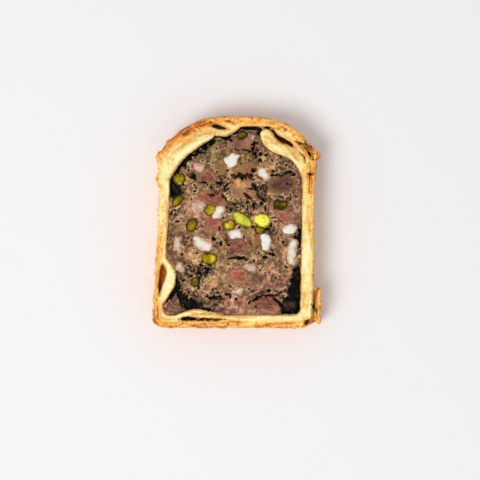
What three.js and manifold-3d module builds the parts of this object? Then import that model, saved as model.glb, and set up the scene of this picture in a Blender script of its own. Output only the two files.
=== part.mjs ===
// One slice of a pate en croute, lying on its lower cut face.
// x runs across the loaf, y up its height from the foot, z through the thickness of the slice.
// Everything is modelled from the loaf's foot and middle, and centred on the slice at the end.
import * as THREE from "three";
import { mergeVertices } from "three/addons/utils/BufferGeometryUtils.js";
import Module from "manifold-3d";

const wasm = await Module();
wasm.setup();

// Driving dimensions, in millimetres.
const THICKNESS = 18; // between the two cut faces
const LOAF_HEIGHT = 110; // foot to the top of the lid
const SHOULDER_HEIGHT = 89.5; // where the walls meet the lid
const WAIST_HEIGHT = 72; // where the walls are furthest in
// Each half of the loaf: how far the wall stands out, and the half span and fullness of the lid there.
const LEFT_WALL = { waist: 39.3, footFlare: 4.2, shoulderFlare: 2.0, lidSpan: 40.3, lidPower: 2.9 };
const RIGHT_WALL = { waist: 41.0, footFlare: -1.0, shoulderFlare: 1.2, lidSpan: 42.8, lidPower: 3.4 };
const FOOT_CORNER = 6; // outside radius at the foot
const PASTRY = { left: 5.4, right: 6.6, foot: 7.0, lid: 5.4, corner: 2.5 }; // thickness of the case

const JELLY_SINK = 0.4; // of the jelly below the cut face
const GAP = 0.3; // between neighbouring pieces
const CRAG = { relief: 0.55, coarse: 9, fine: 3.5 }; // of the baked outside, with the spans of its bumps
const CUT_RELIEF = 0.22; // of the upper cut face
const BRIM = 1; // spare above the upper face before it is cut
const PAST = 8; // how far a cutter runs past a face
const WALL_STEP = 2.6; // facet length along the crust
const WALL_ROWS = 3; // facets through the thickness
const FACE_STEP = 6; // facet length on the cut face
const LUMP_SIDES = 11; // facets round a lump

// Pastry pieces inside the case, each a strip: its spine from root to tip, and its width along it.
const LEFT_FLAP = {
  spine: [[-38, 77], [-32.6, 87.2], [-23.6, 95.8], [-12.8, 100.6]],
  widths: [6, 8, 8.6, 4.2],
};
const RIGHT_FLAP = {
  spine: [[38.5, 76], [36, 84], [31.4, 89.4], [26, 92], [20.8, 93.8], [17, 97.6], [15.4, 100.6]],
  widths: [6, 8, 7, 6, 6.4, 7, 6],
};
const LID_SAG = { spine: [[-21, 101.4], [-13, 102.6], [-5, 102.6], [3, 106.5]], widths: [4, 5, 5.6, 3] };
const LID_LAYER = {
  spine: [[17, 104.4], [20.8, 101.6], [24, 98.8], [28.2, 96.8], [32.2, 94.6], [36, 91]],
  widths: [2.4, 5.4, 6.6, 5.4, 4, 4.4],
};
const PLEAT = { spine: [[-38, 36.4], [-33.9, 29], [-34.4, 22.4], [-38, 14]], widths: [3, 6, 5.8, 3] };
const FOOT_BULGE = { spine: [[-31, 5.5], [-21.5, 7.4], [-8, 6]], widths: [3, 5, 3] };

// Air left between layers of pastry, open at the cut face.
const AIR_GAPS = [
  {
    spine: [[16.6, 104.2], [19.8, 102.3], [21.4, 99.6], [24.4, 97.6], [27.6, 96.2], [31.4, 93.4]],
    widths: [0.6, 1, 1.6, 3, 1.7, 0.4],
    depth: 12,
  },
  { spine: [[33.4, 96.2], [36.2, 94.2], [38.3, 91], [39.6, 88]], widths: [0.4, 0.9, 1.5, 0.6], depth: 5 },
  { spine: [[-12, 105.3], [-8.8, 104.5], [-3.6, 103.4]], widths: [0.8, 2.5, 0.4], depth: 9 },
  { spine: [[-5.8, 108.3], [-3.2, 107.7], [-0.8, 107.6]], widths: [0.3, 0.9, 0.3], depth: 3 },
  {
    spine: [[-38, 32.4], [-37.7, 29], [-38.5, 25], [-39.2, 21.4], [-40, 16.8]],
    widths: [1.4, 3.2, 2.5, 1.5, 0.5],
    depth: 3.6,
  },
  { spine: [[-28.6, 4.5], [-24.6, 4.8], [-17, 4.3], [-7.4, 4.5]], widths: [0.5, 1.7, 0.8, 0.4], depth: 6 },
];

// Ragged flakes that stand off the outside: their place, length and width there, turn in degrees,
// the height of their middle and their half height.
const FLAKES = [
  { at: [41.6, 91], size: [7, 3.4], turn: -50, height: 11.5, half: 6 },
  { at: [41.2, 84.4], size: [9.4, 2.8], turn: 88, height: 10, half: 7 },
  { at: [24.4, 106.2], size: [5, 2.6], turn: -14, height: 11.5, half: 6 },
  { at: [-25.4, 106.6], size: [4.4, 3.2], turn: 36, height: 12.5, half: 5.5 },
  { at: [-34.4, 97], size: [4.6, 3.2], turn: 35, height: 11, half: 6.5 },
  { at: [-39.2, 89.4], size: [5.8, 4.8], turn: 76, height: 10.5, half: 7.2 },
  { at: [-39.6, 77.2], size: [8, 3.4], turn: 88, height: 10, half: 7.5 },
  { at: [40.3, 37.6], size: [7, 1.8], turn: 92, height: 10, half: 7.5 },
];

// Shards of pastry torn off the wall at the foot, and the heights that they stand between.
const SHARDS = [
  { spine: [[39.4, 4], [41, 9], [41.2, 14], [40.8, 19.6]], widths: [5, 5, 4.2, 2.4], from: 2.4, to: 12.6 },
  { spine: [[41.8, 6], [43.2, 11], [43.4, 15], [44.1, 19.4]], widths: [3, 2.6, 1.8, 1], from: 3, to: 15.4 },
  { spine: [[38.6, 8.6], [41.8, 6.2], [43.7, 2.6]], widths: [5, 4.4, 1.8], from: 2, to: 14 },
];

// Jelly that set between the crust and the filling, and runs through the slice.
const JELLIES = {
  jelly_upper_left: {
    spine: [[-12, 97.4], [-19, 92.8], [-26, 88], [-31.2, 81.6], [-33, 75], [-32.6, 71.4]],
    widths: [2.2, 3.8, 4, 4.6, 7, 8.4],
  },
  jelly_top: {
    spine: [[-11.2, 100], [-5, 99], [0.5, 102.2], [6, 103.8], [11, 102.2]],
    widths: [2.6, 2.2, 1.7, 1.7, 3.6],
  },
  jelly_right: { spine: [[35, 52], [34, 47], [33.8, 42]], widths: [2, 4.6, 2.4] },
  jelly_lower_right: {
    spine: [[32.6, 31], [31.4, 24], [30.6, 17], [29.6, 9.5]],
    widths: [3.4, 5.2, 6.6, 13],
  },
  jelly_lower_left: {
    spine: [[-29, 17], [-25.6, 13.6], [-21, 11.4], [-14.6, 9.6]],
    widths: [3.2, 6, 7, 3.6],
  },
  jelly_left_fold: {
    spine: [[-32.4, 29.6], [-30, 26], [-30.6, 21], [-33.4, 16.4]],
    widths: [1.2, 1.9, 2, 1.4],
  },
};

// Pieces in the filling: the place on the upper cut face, length and width there, and turn in degrees.
// taper is how much wider a piece gets along its length, proud is how far it stands above the face, and
// below marks the kernels of the lower face.
const PISTACHIOS = [
  { at: [3.6, 100.4], size: [5.2, 4.0], turn: 0 },
  { at: [-29.0, 77.7], size: [5.8, 5.5], turn: 20 },
  { at: [-30.4, 66.0], size: [6.4, 2.8], turn: 55 },
  { at: [-13.4, 61.3], size: [6.0, 5.5], turn: 30 },
  { at: [-22.8, 53.5], size: [6.2, 5.0], turn: 85 },
  { at: [-3.3, 53.5], size: [6.4, 4.3], turn: 5 },
  { at: [3.7, 56.4], size: [12.4, 5.6], turn: -35, proud: 1.9 },
  { at: [13.9, 56.0], size: [8.4, 7.0], turn: -20, proud: 2.1 },
  { at: [12.6, 50.6], size: [5.0, 3.8], turn: -15 },
  { at: [-13.6, 36.3], size: [7.9, 5.0], turn: -15 },
  { at: [-21.2, 23.5], size: [4.2, 3.9], turn: 0 },
  { at: [23.2, 64.2], size: [6.8, 4.0], turn: -20 },
  { at: [-20.5, 70.5], size: [7.2, 5.2], turn: 40, below: true },
  { at: [19.4, 87.2], size: [6.2, 5.2], turn: -30, below: true },
  { at: [20.0, 36.4], size: [8.4, 5.0], turn: 65, below: true },
  { at: [-8.2, 23.0], size: [6.0, 5.4], turn: 15, below: true },
];
const FATS = [
  { at: [-1.8, 87.2], size: [8.8, 5.6], turn: 46, taper: -0.35 },
  { at: [14.8, 80.4], size: [6.8, 4.8], turn: 105, taper: 0.2 },
  { at: [-9.3, 60.1], size: [7.8, 4.6], turn: 48 },
  { at: [-0.2, 48.4], size: [6.2, 5.0], turn: 20 },
  { at: [15.3, 45.2], size: [9.6, 5.0], turn: 97, taper: 0.35 },
  { at: [-17.3, 43.8], size: [11.4, 5.6], turn: -34, taper: 0.25 },
  { at: [-30.2, 43.6], size: [9.2, 3.6], turn: 104 },
  { at: [-29.2, 32.0], size: [5.4, 3.2], turn: 110 },
  { at: [28.4, 51.0], size: [6.8, 5.4], turn: 20 },
  { at: [29.4, 39.4], size: [13.6, 4.6], turn: 86 },
  { at: [-18.8, 83.2], size: [5.2, 4.2], turn: -20 },
  { at: [0.8, 19.2], size: [6.4, 3.2], turn: 15 },
  { at: [8.0, 31.4], size: [6.8, 4.2], turn: -20 },
  { at: [-19.4, 63.0], size: [6.4, 5.2], turn: 40 },
];
const LEANS = [
  { at: [24.6, 74.6], size: [13.2, 8.2], turn: 8 },
  { at: [-14.6, 78.6], size: [7.0, 7.4], turn: 96, taper: -0.6 },
  { at: [-7.4, 83.6], size: [6.4, 5.2], turn: 60 },
  { at: [4.4, 82.4], size: [10.6, 5.6], turn: 6, taper: -0.2 },
  { at: [-11.8, 67.4], size: [14.0, 5.4], turn: -14 },
  { at: [-11.6, 53.6], size: [8.0, 6.6], turn: 10 },
  { at: [0.4, 41.6], size: [9.2, 7.4], turn: 12, taper: 0.25 },
  { at: [9.2, 47.4], size: [8.2, 6.6], turn: -45 },
  { at: [1.6, 26.8], size: [8.8, 7.0], turn: 0 },
  { at: [15.6, 12.6], size: [14.6, 7.8], turn: -6, taper: 0.35 },
  { at: [24.6, 58.4], size: [8.0, 5.8], turn: -48 },
  { at: [4.6, 73.2], size: [14.0, 8.4], turn: -36, taper: -0.25 },
  { at: [27.6, 11.8], size: [7.8, 3.8], turn: 4 },
  { at: [4.4, 95.2], size: [11.0, 6.0], turn: -8 },
];
// Torn holes in the filling: place, length and width, turn, and depth below the cut face.
const PITS = [
  { at: [-22.6, 79.4], size: [4.2, 3.6], turn: 10, depth: 3 },
  { at: [10.4, 92.0], size: [4.8, 2.8], turn: 70, depth: 3 },
  { at: [13.6, 68.6], size: [9.4, 3.6], turn: -50, depth: 3.5 },
  { at: [-2.2, 62.8], size: [8.0, 4.2], turn: 10, depth: 2.5 },
  { at: [5.0, 77.6], size: [10.5, 2.0], turn: -4, depth: 2.5 },
  { at: [-7.6, 74.6], size: [4.4, 2.6], turn: 25, depth: 2.5 },
  { at: [2.0, 36.2], size: [11.0, 1.5], turn: -6, depth: 3 },
  { at: [-16.4, 29.6], size: [9.4, 4.0], turn: 12, depth: 2 },
  { at: [-9.8, 15.6], size: [8.6, 2.0], turn: -4, depth: 3 },
  { at: [12.0, 17.6], size: [11.0, 1.6], turn: 22, depth: 3 },
  { at: [18.6, 50.6], size: [4.8, 2.6], turn: 35, depth: 2.5 },
  { at: [26.4, 80.2], size: [7.6, 1.6], turn: 10, depth: 2 },
];

// The make of each kind of lump: its depth as a share of its width, how square and how uneven it is,
// and how far its cut top stands above the face.
const KINDS = {
  pistachio: { deep: 0.62, square: 0.05, uneven: 0.08, proud: 0.35 },
  fat: { deep: 0.9, square: 0.28, uneven: 0.2, proud: 0.2 },
  lean: { deep: 1.0, square: 0.32, uneven: 0.22, proud: 0.05 },
};
const PIT_MAKE = { square: 0.1, uneven: 0.25 };
const FLAKE_MAKE = { square: 0.25, uneven: 0.3 };
// Half sections of a lump from its axis out and back, as shares of its radius, depth and rise.
const PROFILES = {
  flat: [[0, -1], [0.7, -0.7], [1, 0], [0, 0]],
  domed: [[0, -1], [0.7, -0.7], [1, 0], [0.7, 0.7], [0, 1]],
  shaft: [[0, -1], [0.7, -0.7], [1, 0], [1, 1], [0, 1]],
};

const COLOURS = {
  crust: 0xe8b468,
  forcemeat: 0x8f6d4c,
  jelly: 0x1d140e,
  pistachio: 0xa6a02e,
  fat: 0xeae2d6,
  lean: 0x8a5044,
};
const MATERIALS = {
  crust: new THREE.MeshStandardMaterial({ color: COLOURS.crust, roughness: 0.75, metalness: 0 }),
  forcemeat: new THREE.MeshStandardMaterial({ color: COLOURS.forcemeat, roughness: 0.6, metalness: 0 }),
  jelly: new THREE.MeshStandardMaterial({ color: COLOURS.jelly, roughness: 0.15, metalness: 0 }),
  pistachio: new THREE.MeshStandardMaterial({ color: COLOURS.pistachio, roughness: 0.5, metalness: 0 }),
  fat: new THREE.MeshStandardMaterial({ color: COLOURS.fat, roughness: 0.4, metalness: 0 }),
  lean: new THREE.MeshStandardMaterial({ color: COLOURS.lean, roughness: 0.5, metalness: 0 }),
};

const lerp = THREE.MathUtils.lerp;
const radians = THREE.MathUtils.degToRad;

// A repeatable number from 0 to 1 for a lattice point.
function hash(i, j, k) {
  let n = (i * 374761393 + j * 668265263 + k * 2147483647) | 0;
  n = Math.imul(n ^ (n >>> 13), 1274126177);
  return ((n ^ (n >>> 16)) >>> 0) / 4294967295;
}

// Smooth noise from -1 to 1, with features about one unit across.
function noise(x, y, z) {
  const [i, j, k] = [Math.floor(x), Math.floor(y), Math.floor(z)];
  const ease = (t) => t * t * (3 - 2 * t);
  const [u, v, w] = [ease(x - i), ease(y - j), ease(z - k)];
  const row = (b, c) => lerp(hash(i, j + b, k + c), hash(i + 1, j + b, k + c), u);
  return 2 * lerp(lerp(row(0, 0), row(1, 0), v), lerp(row(0, 1), row(1, 1), v), w) - 1;
}

// A closed geometry as a solid that can be joined and cut.
function solid(geometry) {
  const bare = geometry.clone();
  bare.deleteAttribute("normal");
  bare.deleteAttribute("uv");
  const merged = mergeVertices(bare, 1e-4);
  return new wasm.Manifold(
    new wasm.Mesh({
      numProp: 3,
      vertProperties: merged.attributes.position.array,
      triVerts: new Uint32Array(merged.index.array),
    }),
  );
}

// The largest body of a solid: cutting can leave loose scraps.
function largest(made) {
  return made.decompose().reduce((a, b) => (a.volume() > b.volume() ? a : b));
}

// Moves every corner of a geometry by a function of its place.
function reshape(geometry, move) {
  const position = geometry.attributes.position;
  const point = new THREE.Vector3();
  for (let i = 0; i < position.count; i++) {
    point.fromBufferAttribute(position, i);
    move(point);
    position.setXYZ(i, point.x, point.y, point.z);
  }
  return geometry;
}

// A plan outline pulled up from one height to another.
function prism(points, from, to, steps = 1) {
  const shape = new THREE.Shape(points);
  const geometry = new THREE.ExtrudeGeometry(shape, { depth: to - from, steps, bevelEnabled: false });
  return geometry.translate(0, 0, from);
}

// A bent strip of changing width with round ends, as a plan outline.
function stripOutline({ spine, widths }, grow) {
  const curve = new THREE.SplineCurve(spine.map(([x, y]) => new THREE.Vector2(x, y)));
  const samples = 3 * (spine.length - 1);
  const sides = { left: [], right: [] };
  for (let i = 0; i <= samples; i++) {
    const t = i / samples;
    const along = t * (widths.length - 1);
    const k = Math.min(Math.floor(along), widths.length - 2);
    const half = lerp(widths[k], widths[k + 1], along - k) / 2 + grow;
    const middle = curve.getPoint(t);
    const across = curve.getTangent(t).rotateAround(new THREE.Vector2(), Math.PI / 2);
    sides.left.push(middle.clone().addScaledVector(across, half));
    sides.right.push(middle.clone().addScaledVector(across, -half));
  }
  const cap = (end, sign) => {
    const middle = curve.getPoint(end);
    const onward = curve.getTangent(end).multiplyScalar(sign);
    const half = widths[end === 0 ? 0 : widths.length - 1] / 2 + grow;
    const turned = (angle) => onward.clone().rotateAround(new THREE.Vector2(), angle);
    return [-1, 0, 1].map((n) => middle.clone().addScaledVector(turned((n * Math.PI) / 4), half));
  };
  return [...sides.right, ...cap(1, 1), ...sides.left.reverse(), ...cap(0, -1)];
}

// The strip as a solid between two heights, or right through the slice.
function strip(piece, grow, from, to) {
  return solid(prism(stripOutline(piece, grow), from, to));
}
const through = (piece, grow) => strip(piece, grow, -2 * PAST, THICKNESS + 2 * PAST);

// A lump, round or square in plan: its widest ring lies on the face unless it is sunk or raised.
function lump(piece, { square, uneven }, { profile, height, depth, rise = 0, grow = 0 }) {
  const { at, size, turn, below, taper = 0 } = piece;
  const points = PROFILES[profile].map(([radius, y]) => new THREE.Vector2(radius, y));
  const body = new THREE.LatheGeometry(points, LUMP_SIDES).rotateX(Math.PI / 2);
  const spread = (v) => Math.sign(v) * Math.abs(v) ** (1 - square);
  reshape(body, (p) => {
    const bulge = 1 + uneven * noise(2 * p.x + at[0], 2 * p.y + at[1], 0.5);
    p.y = spread(p.y) * bulge * (1 + taper * p.x) * (size[1] / 2 + grow);
    p.x = spread(p.x) * bulge * (size[0] / 2 + grow);
    p.z *= p.z < 0 ? depth + grow : rise;
  });
  if (below) body.rotateX(Math.PI);
  return solid(body.rotateZ(radians(turn)).translate(at[0], at[1], height));
}

// How far a wall stands from the middle at a height above the foot.
function wallAt(wall, y) {
  const low = Math.max(0, 1 - y / WAIST_HEIGHT);
  const high = Math.max(0, (y - WAIST_HEIGHT) / (SHOULDER_HEIGHT - WAIST_HEIGHT));
  return wall.waist + wall.footFlare * low + wall.shoulderFlare * high ** 2;
}

// The lid's height above the foot, less a thickness measured square to its surface.
function lidAt(x, thickness) {
  const rise = LOAF_HEIGHT - SHOULDER_HEIGHT;
  const { lidSpan, lidPower } = x < 0 ? LEFT_WALL : RIGHT_WALL;
  const share = Math.min(1, Math.abs(x) / lidSpan);
  const slope = ((lidPower * rise) / lidSpan) * share ** (lidPower - 1);
  return SHOULDER_HEIGHT + rise * (1 - share ** lidPower) - thickness * Math.hypot(1, slope);
}

// The loaf's section, taken in from the outside by the thickness of its walls.
function section({ left, right, foot, lid, corner }) {
  const leftAt = (y) => left - wallAt(LEFT_WALL, y);
  const rightAt = (y) => wallAt(RIGHT_WALL, y) - right;
  const path = new THREE.Path();
  const low = foot + corner;
  const tops = [leftAt, rightAt].map((side) => lidAt(side(SHOULDER_HEIGHT), lid));
  path.moveTo(leftAt(0) + corner, foot);
  path.lineTo(rightAt(0) - corner, foot);
  path.absarc(rightAt(low) - corner, low, corner, -Math.PI / 2, 0);
  const wallSteps = 24;
  const climb = (from, to, side) => {
    for (let i = 1; i <= wallSteps; i++) {
      const y = lerp(from, to, i / wallSteps);
      path.lineTo(side(y), y);
    }
  };
  climb(low, tops[1], rightAt);
  const lidSteps = 48;
  for (let i = 1; i < lidSteps; i++) {
    const x = lerp(rightAt(tops[1]), leftAt(tops[0]), i / lidSteps);
    path.lineTo(x, lidAt(x, lid));
  }
  climb(tops[0], low, leftAt);
  path.absarc(leftAt(low) + corner, low, corner, Math.PI, 1.5 * Math.PI);
  path.closePath();
  const count = Math.round(path.getLength() / WALL_STEP);
  return path.getSpacedPoints(count).slice(0, count);
}

// Everything below the upper cut face, which is a little uneven as a knife leaves it.
function belowCutFace() {
  const margin = 6;
  const half = Math.max(wallAt(LEFT_WALL, 0), RIGHT_WALL.lidSpan) + margin;
  const [width, height] = [2 * half, LOAF_HEIGHT + 2 * margin];
  const depth = THICKNESS + margin;
  const columns = Math.round(width / FACE_STEP);
  const rows = Math.round(height / FACE_STEP);
  const block = new THREE.BoxGeometry(width, height, depth, columns, rows, 1);
  block.translate(0, LOAF_HEIGHT / 2, THICKNESS - depth / 2);
  reshape(block, (p) => {
    if (p.z > 0) p.z += CUT_RELIEF * noise(p.x / FACE_STEP, p.y / FACE_STEP, 3.5);
  });
  return solid(block);
}

// The baked outside: the section through the thickness, with crags that change along and across it.
function bakedBlock() {
  const outline = section({ left: 0, right: 0, foot: 0, lid: 0, corner: FOOT_CORNER });
  const block = prism(outline, 0, THICKNESS + BRIM, WALL_ROWS);
  const middle = new THREE.Vector3(0, LOAF_HEIGHT / 2, 0);
  reshape(block, (p) => {
    const outward = new THREE.Vector3(p.x, p.y, 0).sub(middle).normalize();
    const bumps = (span) => noise(p.x / span, p.y / span, p.z / span);
    p.addScaledVector(outward, CRAG.relief * (0.6 * bumps(CRAG.coarse) + 0.4 * bumps(CRAG.fine)));
  });
  return solid(block);
}

// The hollow of the case, with its walls thicker by an amount.
function cavity(extra, from) {
  const { left, right, foot, lid, corner } = PASTRY;
  const [thickLeft, thickRight, thickFoot, thickLid] = [left, right, foot, lid].map((wall) => wall + extra);
  const inside = section({ left: thickLeft, right: thickRight, foot: thickFoot, lid: thickLid, corner });
  return solid(prism(inside, from, THICKNESS + PAST));
}

const folds = [LEFT_FLAP, RIGHT_FLAP, LID_SAG, LID_LAYER, PLEAT, FOOT_BULGE];
const cutFace = belowCutFace();

// The crust: case, folded flaps and lid baked into one, with its air gaps and flakes.
function crust() {
  let made = bakedBlock().subtract(cavity(0, -PAST));
  for (const fold of folds) made = made.add(strip(fold, 0, 0, THICKNESS + BRIM));
  for (const flake of FLAKES) {
    const { height, half } = flake;
    made = made.add(lump(flake, FLAKE_MAKE, { profile: "domed", height, depth: half, rise: half }));
  }
  for (const shard of SHARDS) made = made.add(strip(shard, 0, shard.from, shard.to));
  for (const gap of AIR_GAPS) made = made.subtract(strip(gap, 0, THICKNESS - gap.depth, THICKNESS + PAST));
  return largest(made.intersect(cutFace));
}

// The room that the crust leaves for what is inside it.
function room() {
  let made = cavity(GAP, 0);
  for (const fold of [...folds, ...AIR_GAPS]) made = made.subtract(through(fold, GAP));
  return largest(made);
}

// A piece of the filling, and the pocket that it leaves with a clearance all round.
function morsel(piece, kind) {
  const make = KINDS[kind];
  const depth = make.deep * piece.size[1];
  const raised = piece.proud !== undefined;
  const top = THICKNESS + (raised ? piece.proud - depth : make.proud);
  const height = piece.below ? 0 : top;
  const profile = piece.below ? "shaft" : raised ? "domed" : "flat";
  return {
    body: lump(piece, make, { profile, height, depth, rise: depth }),
    pocket: lump(piece, make, { profile: "shaft", height, depth, rise: 2 * PAST, grow: GAP }),
  };
}

// Builds the inside from the pieces that keep their whole shape to those that fit round them.
function filling() {
  const space = room();
  const made = [];
  const holes = [];
  const without = (body) => largest(holes.reduce((left, hole) => left.subtract(hole), body));
  const place = (name, kind, { body, pocket }) => {
    made.push({ name, kind, body: without(body.intersect(space)) });
    holes.push(pocket);
  };
  const number = (i) => String(i + 1).padStart(2, "0");
  for (const [kind, pieces] of Object.entries({ pistachio: PISTACHIOS, fat: FATS, lean: LEANS }))
    pieces.forEach((piece, i) => place(`${kind}_${number(i)}`, kind, morsel(piece, kind)));
  for (const [name, piece] of Object.entries(JELLIES)) {
    const body = strip(piece, 0, -PAST, THICKNESS - JELLY_SINK);
    place(name, "jelly", { body, pocket: through(piece, GAP) });
  }
  for (const pit of PITS) {
    const height = THICKNESS - BRIM;
    holes.push(lump(pit, PIT_MAKE, { profile: "shaft", height, depth: pit.depth - BRIM, rise: PAST }));
  }
  made.push({ name: "forcemeat", kind: "forcemeat", body: without(space.intersect(cutFace)) });
  return made;
}

// A solid as a named mesh.
function meshOf({ name, kind, body }) {
  const { vertProperties, triVerts } = body.getMesh();
  const geometry = new THREE.BufferGeometry();
  geometry.setAttribute("position", new THREE.BufferAttribute(vertProperties, 3));
  geometry.setIndex(new THREE.BufferAttribute(triVerts, 1));
  geometry.computeVertexNormals();
  const mesh = new THREE.Mesh(geometry, MATERIALS[kind]);
  mesh.name = name;
  return mesh;
}

const loaf = new THREE.Group();
loaf.add(meshOf({ name: "crust", kind: "crust", body: crust() }));
for (const piece of filling()) loaf.add(meshOf(piece));

// The origin is under the middle of the slice, on the table.
const box = new THREE.Box3().setFromObject(loaf);
const centre = box.getCenter(new THREE.Vector3());
loaf.position.set(-centre.x, -centre.y, -box.min.z);
const slice = new THREE.Group();
slice.add(loaf);

export default slice;
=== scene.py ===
"""One slice of pate en croute on a plain pale floor, seen straight from above.

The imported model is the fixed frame. Each of its nodes has a finer copy here: golden flaky crust, coarse
forcemeat, diced lean and fat, pistachio kernels and dark jelly. Loose flakes and scraps are two more.
Lengths are in millimetres in the loaf's own frame, whose origin is at the middle of the loaf's foot, until
they are written to a mesh, which is in metres in the slice's frame.
"""

import math

import bmesh
import bpy
import numpy as np
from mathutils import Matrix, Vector
from mathutils.bvhtree import BVHTree


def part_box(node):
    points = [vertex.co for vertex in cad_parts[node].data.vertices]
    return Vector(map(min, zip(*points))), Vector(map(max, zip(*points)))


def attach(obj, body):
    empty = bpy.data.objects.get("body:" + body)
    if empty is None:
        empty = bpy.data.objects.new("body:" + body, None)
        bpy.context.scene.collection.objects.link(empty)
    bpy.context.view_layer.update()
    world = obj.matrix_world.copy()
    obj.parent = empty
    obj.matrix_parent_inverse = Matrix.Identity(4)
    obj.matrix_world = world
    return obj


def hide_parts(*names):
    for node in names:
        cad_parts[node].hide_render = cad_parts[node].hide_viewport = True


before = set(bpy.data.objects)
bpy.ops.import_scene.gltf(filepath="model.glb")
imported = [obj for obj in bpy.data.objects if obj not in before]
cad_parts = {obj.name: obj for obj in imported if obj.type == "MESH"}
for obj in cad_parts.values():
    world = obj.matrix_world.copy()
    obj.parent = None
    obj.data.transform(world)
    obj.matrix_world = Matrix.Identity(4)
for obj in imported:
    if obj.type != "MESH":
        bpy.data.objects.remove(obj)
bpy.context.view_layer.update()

MM = 0.001
THICKNESS = 18.0
CUT_TOP = THICKNESS - 1.0  # what lies higher is the upper cut face
FAR = 100.0  # outside the slice, where rays start
FOOT_MIDDLE = np.array((-0.68, -54.95, 0.0))  # the loaf's origin in the slice's frame
SLICE_MIDDLE = -FOOT_MIDDLE[:2]

# The photograph's view: straight down, with the middle of the picture at this point of the loaf.
PICTURE_MIDDLE = (2.36, 45.7)
PICTURE_WIDTH = 249.6
LENS = 85.0
SENSOR = 36.0

# Repeatable noise and masks

OCTAVE_SHIFT = 7.3


def hashed(cells, seed):
    """Numbers from 0 to 1 for whole-number lattice cells."""
    mixed = cells[:, 0] * 374761393 + cells[:, 1] * 668265263 + cells[:, 2] * 1440662683 + seed * 362437
    n = (mixed & 0xFFFFFFFF).astype(np.uint32)
    n = (n ^ (n >> np.uint32(13))) * np.uint32(1274126177)
    n = n ^ (n >> np.uint32(16))
    n = n * np.uint32(2246822519)
    return (n ^ (n >> np.uint32(15))) / 4294967295.0


def noise(points, seed):
    """Smooth noise from -1 to 1, with features about one unit across."""
    base = np.floor(points).astype(np.int64)
    share = points - base
    ease = share * share * (3 - 2 * share)
    total = np.zeros(len(points))
    for corner in np.ndindex(2, 2, 2):
        weight = np.prod(np.where(corner, ease, 1 - ease), axis=1)
        total += weight * hashed(base + corner, seed)
    return 2 * total - 1


def layered(points, octaves, seed):
    """Noise with finer noise on it, about -1 to 1."""
    return sum(noise(points * 2.0**k + OCTAVE_SHIFT * k, seed + k) / 2.0**k for k in range(octaves)) / 1.6


def cell_numbers(points, seed):
    """Numbers from 0 to 1 for points of the plane, the same all over each uneven cell."""
    base = np.floor(points).astype(np.int64)
    near = np.full(len(points), 9.0)
    number = np.zeros(len(points))
    for i, j in np.ndindex(3, 3):
        cell = np.column_stack((base + (i - 1, j - 1), np.zeros(len(points), np.int64)))
        middle = cell[:, :2] + np.column_stack((hashed(cell, seed), hashed(cell, seed + 1)))
        gap = np.hypot(*(points - middle).T)
        closer = gap < near
        number = np.where(closer, hashed(cell, seed + 2), number)
        near = np.where(closer, gap, near)
    return number


def rise(low, high, value):
    """0 up to the low end, 1 from the high end on, and a soft rise between them."""
    t = np.clip((value - low) / (high - low), 0, 1)
    return t * t * (3 - 2 * t)


def fall(low, high, value):
    """1 up to the low end, 0 from the high end on."""
    return 1 - rise(low, high, value)


def most(*masks):
    """The greatest of several masks at each point."""
    return np.maximum.reduce(masks)


def bell(value):
    """1 at zero, falling softly to 0 on both sides."""
    return np.exp(-(value**2))


def along_line(points, line):
    """Each point's distance from a bent line, its place along it from 0 to 1, and the heading there."""
    line = np.array(line, float)
    lengths = np.hypot(*np.diff(line, axis=0).T)
    starts = np.concatenate(([0], np.cumsum(lengths)))
    distance = np.full(len(points), FAR)
    travel, heading = np.zeros((2, len(points)))
    for k, length in enumerate(lengths):
        way = line[k + 1] - line[k]
        share = np.clip(((points - line[k]) @ way) / length**2, 0, 1)
        gap = np.hypot(*(points - line[k] - share[:, None] * way).T)
        closer = gap < distance
        distance = np.where(closer, gap, distance)
        travel = np.where(closer, (starts[k] + share * length) / starts[-1], travel)
        heading = np.where(closer, math.atan2(way[1], way[0]), heading)
    return distance, travel, heading


def torn(points, cracks, seed):
    """How deep the cracks are at each point, a mask of them from 0 to 1, and one of their edges."""
    plan = points[:, :2]
    sunk, opened, edged = np.zeros((3, len(plan)))
    for k, (width, depth, line) in enumerate(cracks):
        corners = np.array(line)
        margin = 2 * width + 1.5
        inside = (plan > corners.min(0) - margin).all(1) & (plan < corners.max(0) + margin).all(1)
        reach = np.flatnonzero(inside)
        if not len(reach):
            continue
        near = points[reach]
        ragged = [layered(near / 1.6, 3, seed + k + shift) for shift in (0, 70)]
        gap, travel, _ = along_line(plan[reach] + (0.4 + 0.3 * width) * np.column_stack(ragged), line)
        uneven = 1 + 0.6 * noise(near / 0.8, seed + k)
        half = 0.5 * width * (0.4 + 0.6 * np.sin(math.pi * travel)) * uneven
        mask = fall(0.7, 1.3, gap / half)
        edge = fall(0.2, 0.9, gap - half)
        opened[reach] = np.maximum(opened[reach], mask)
        edged[reach] = np.maximum(edged[reach], edge)
        sunk[reach] = np.maximum(sunk[reach], depth * mask)
    return sunk, opened, edged * (1 - opened)


def zones(points, places):
    """A mask from 0 to 1 of soft spots, each a place, a spread and a strength."""
    total = np.zeros(len(points))
    for x, y, spread, strength in places:
        gap = np.hypot(points[:, 0] - x, points[:, 1] - y)
        total = np.maximum(total, strength * bell(gap / spread))
    return total


def patches(points, places):
    """A mask from 0 to 1 of rounded patches, each a place, a length and width and a turn in degrees."""
    total = np.zeros(len(points))
    for x, y, length, width, turn in places:
        cosine, sine = math.cos(math.radians(turn)), math.sin(math.radians(turn))
        right, up = points[:, 0] - x, points[:, 1] - y
        onward = np.abs(right * cosine + up * sine) * 2 / length
        across = np.abs(up * cosine - right * sine) * 2 / width
        total = np.maximum(total, fall(0.5, 1.5, onward**3 + across**3))
    return total


# Meshes

SAME_POINT = 0.001  # vertices this close are one
BIT_UNEVENNESS = 0.45  # how far a small lump's surface strays, as a share of its size


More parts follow.
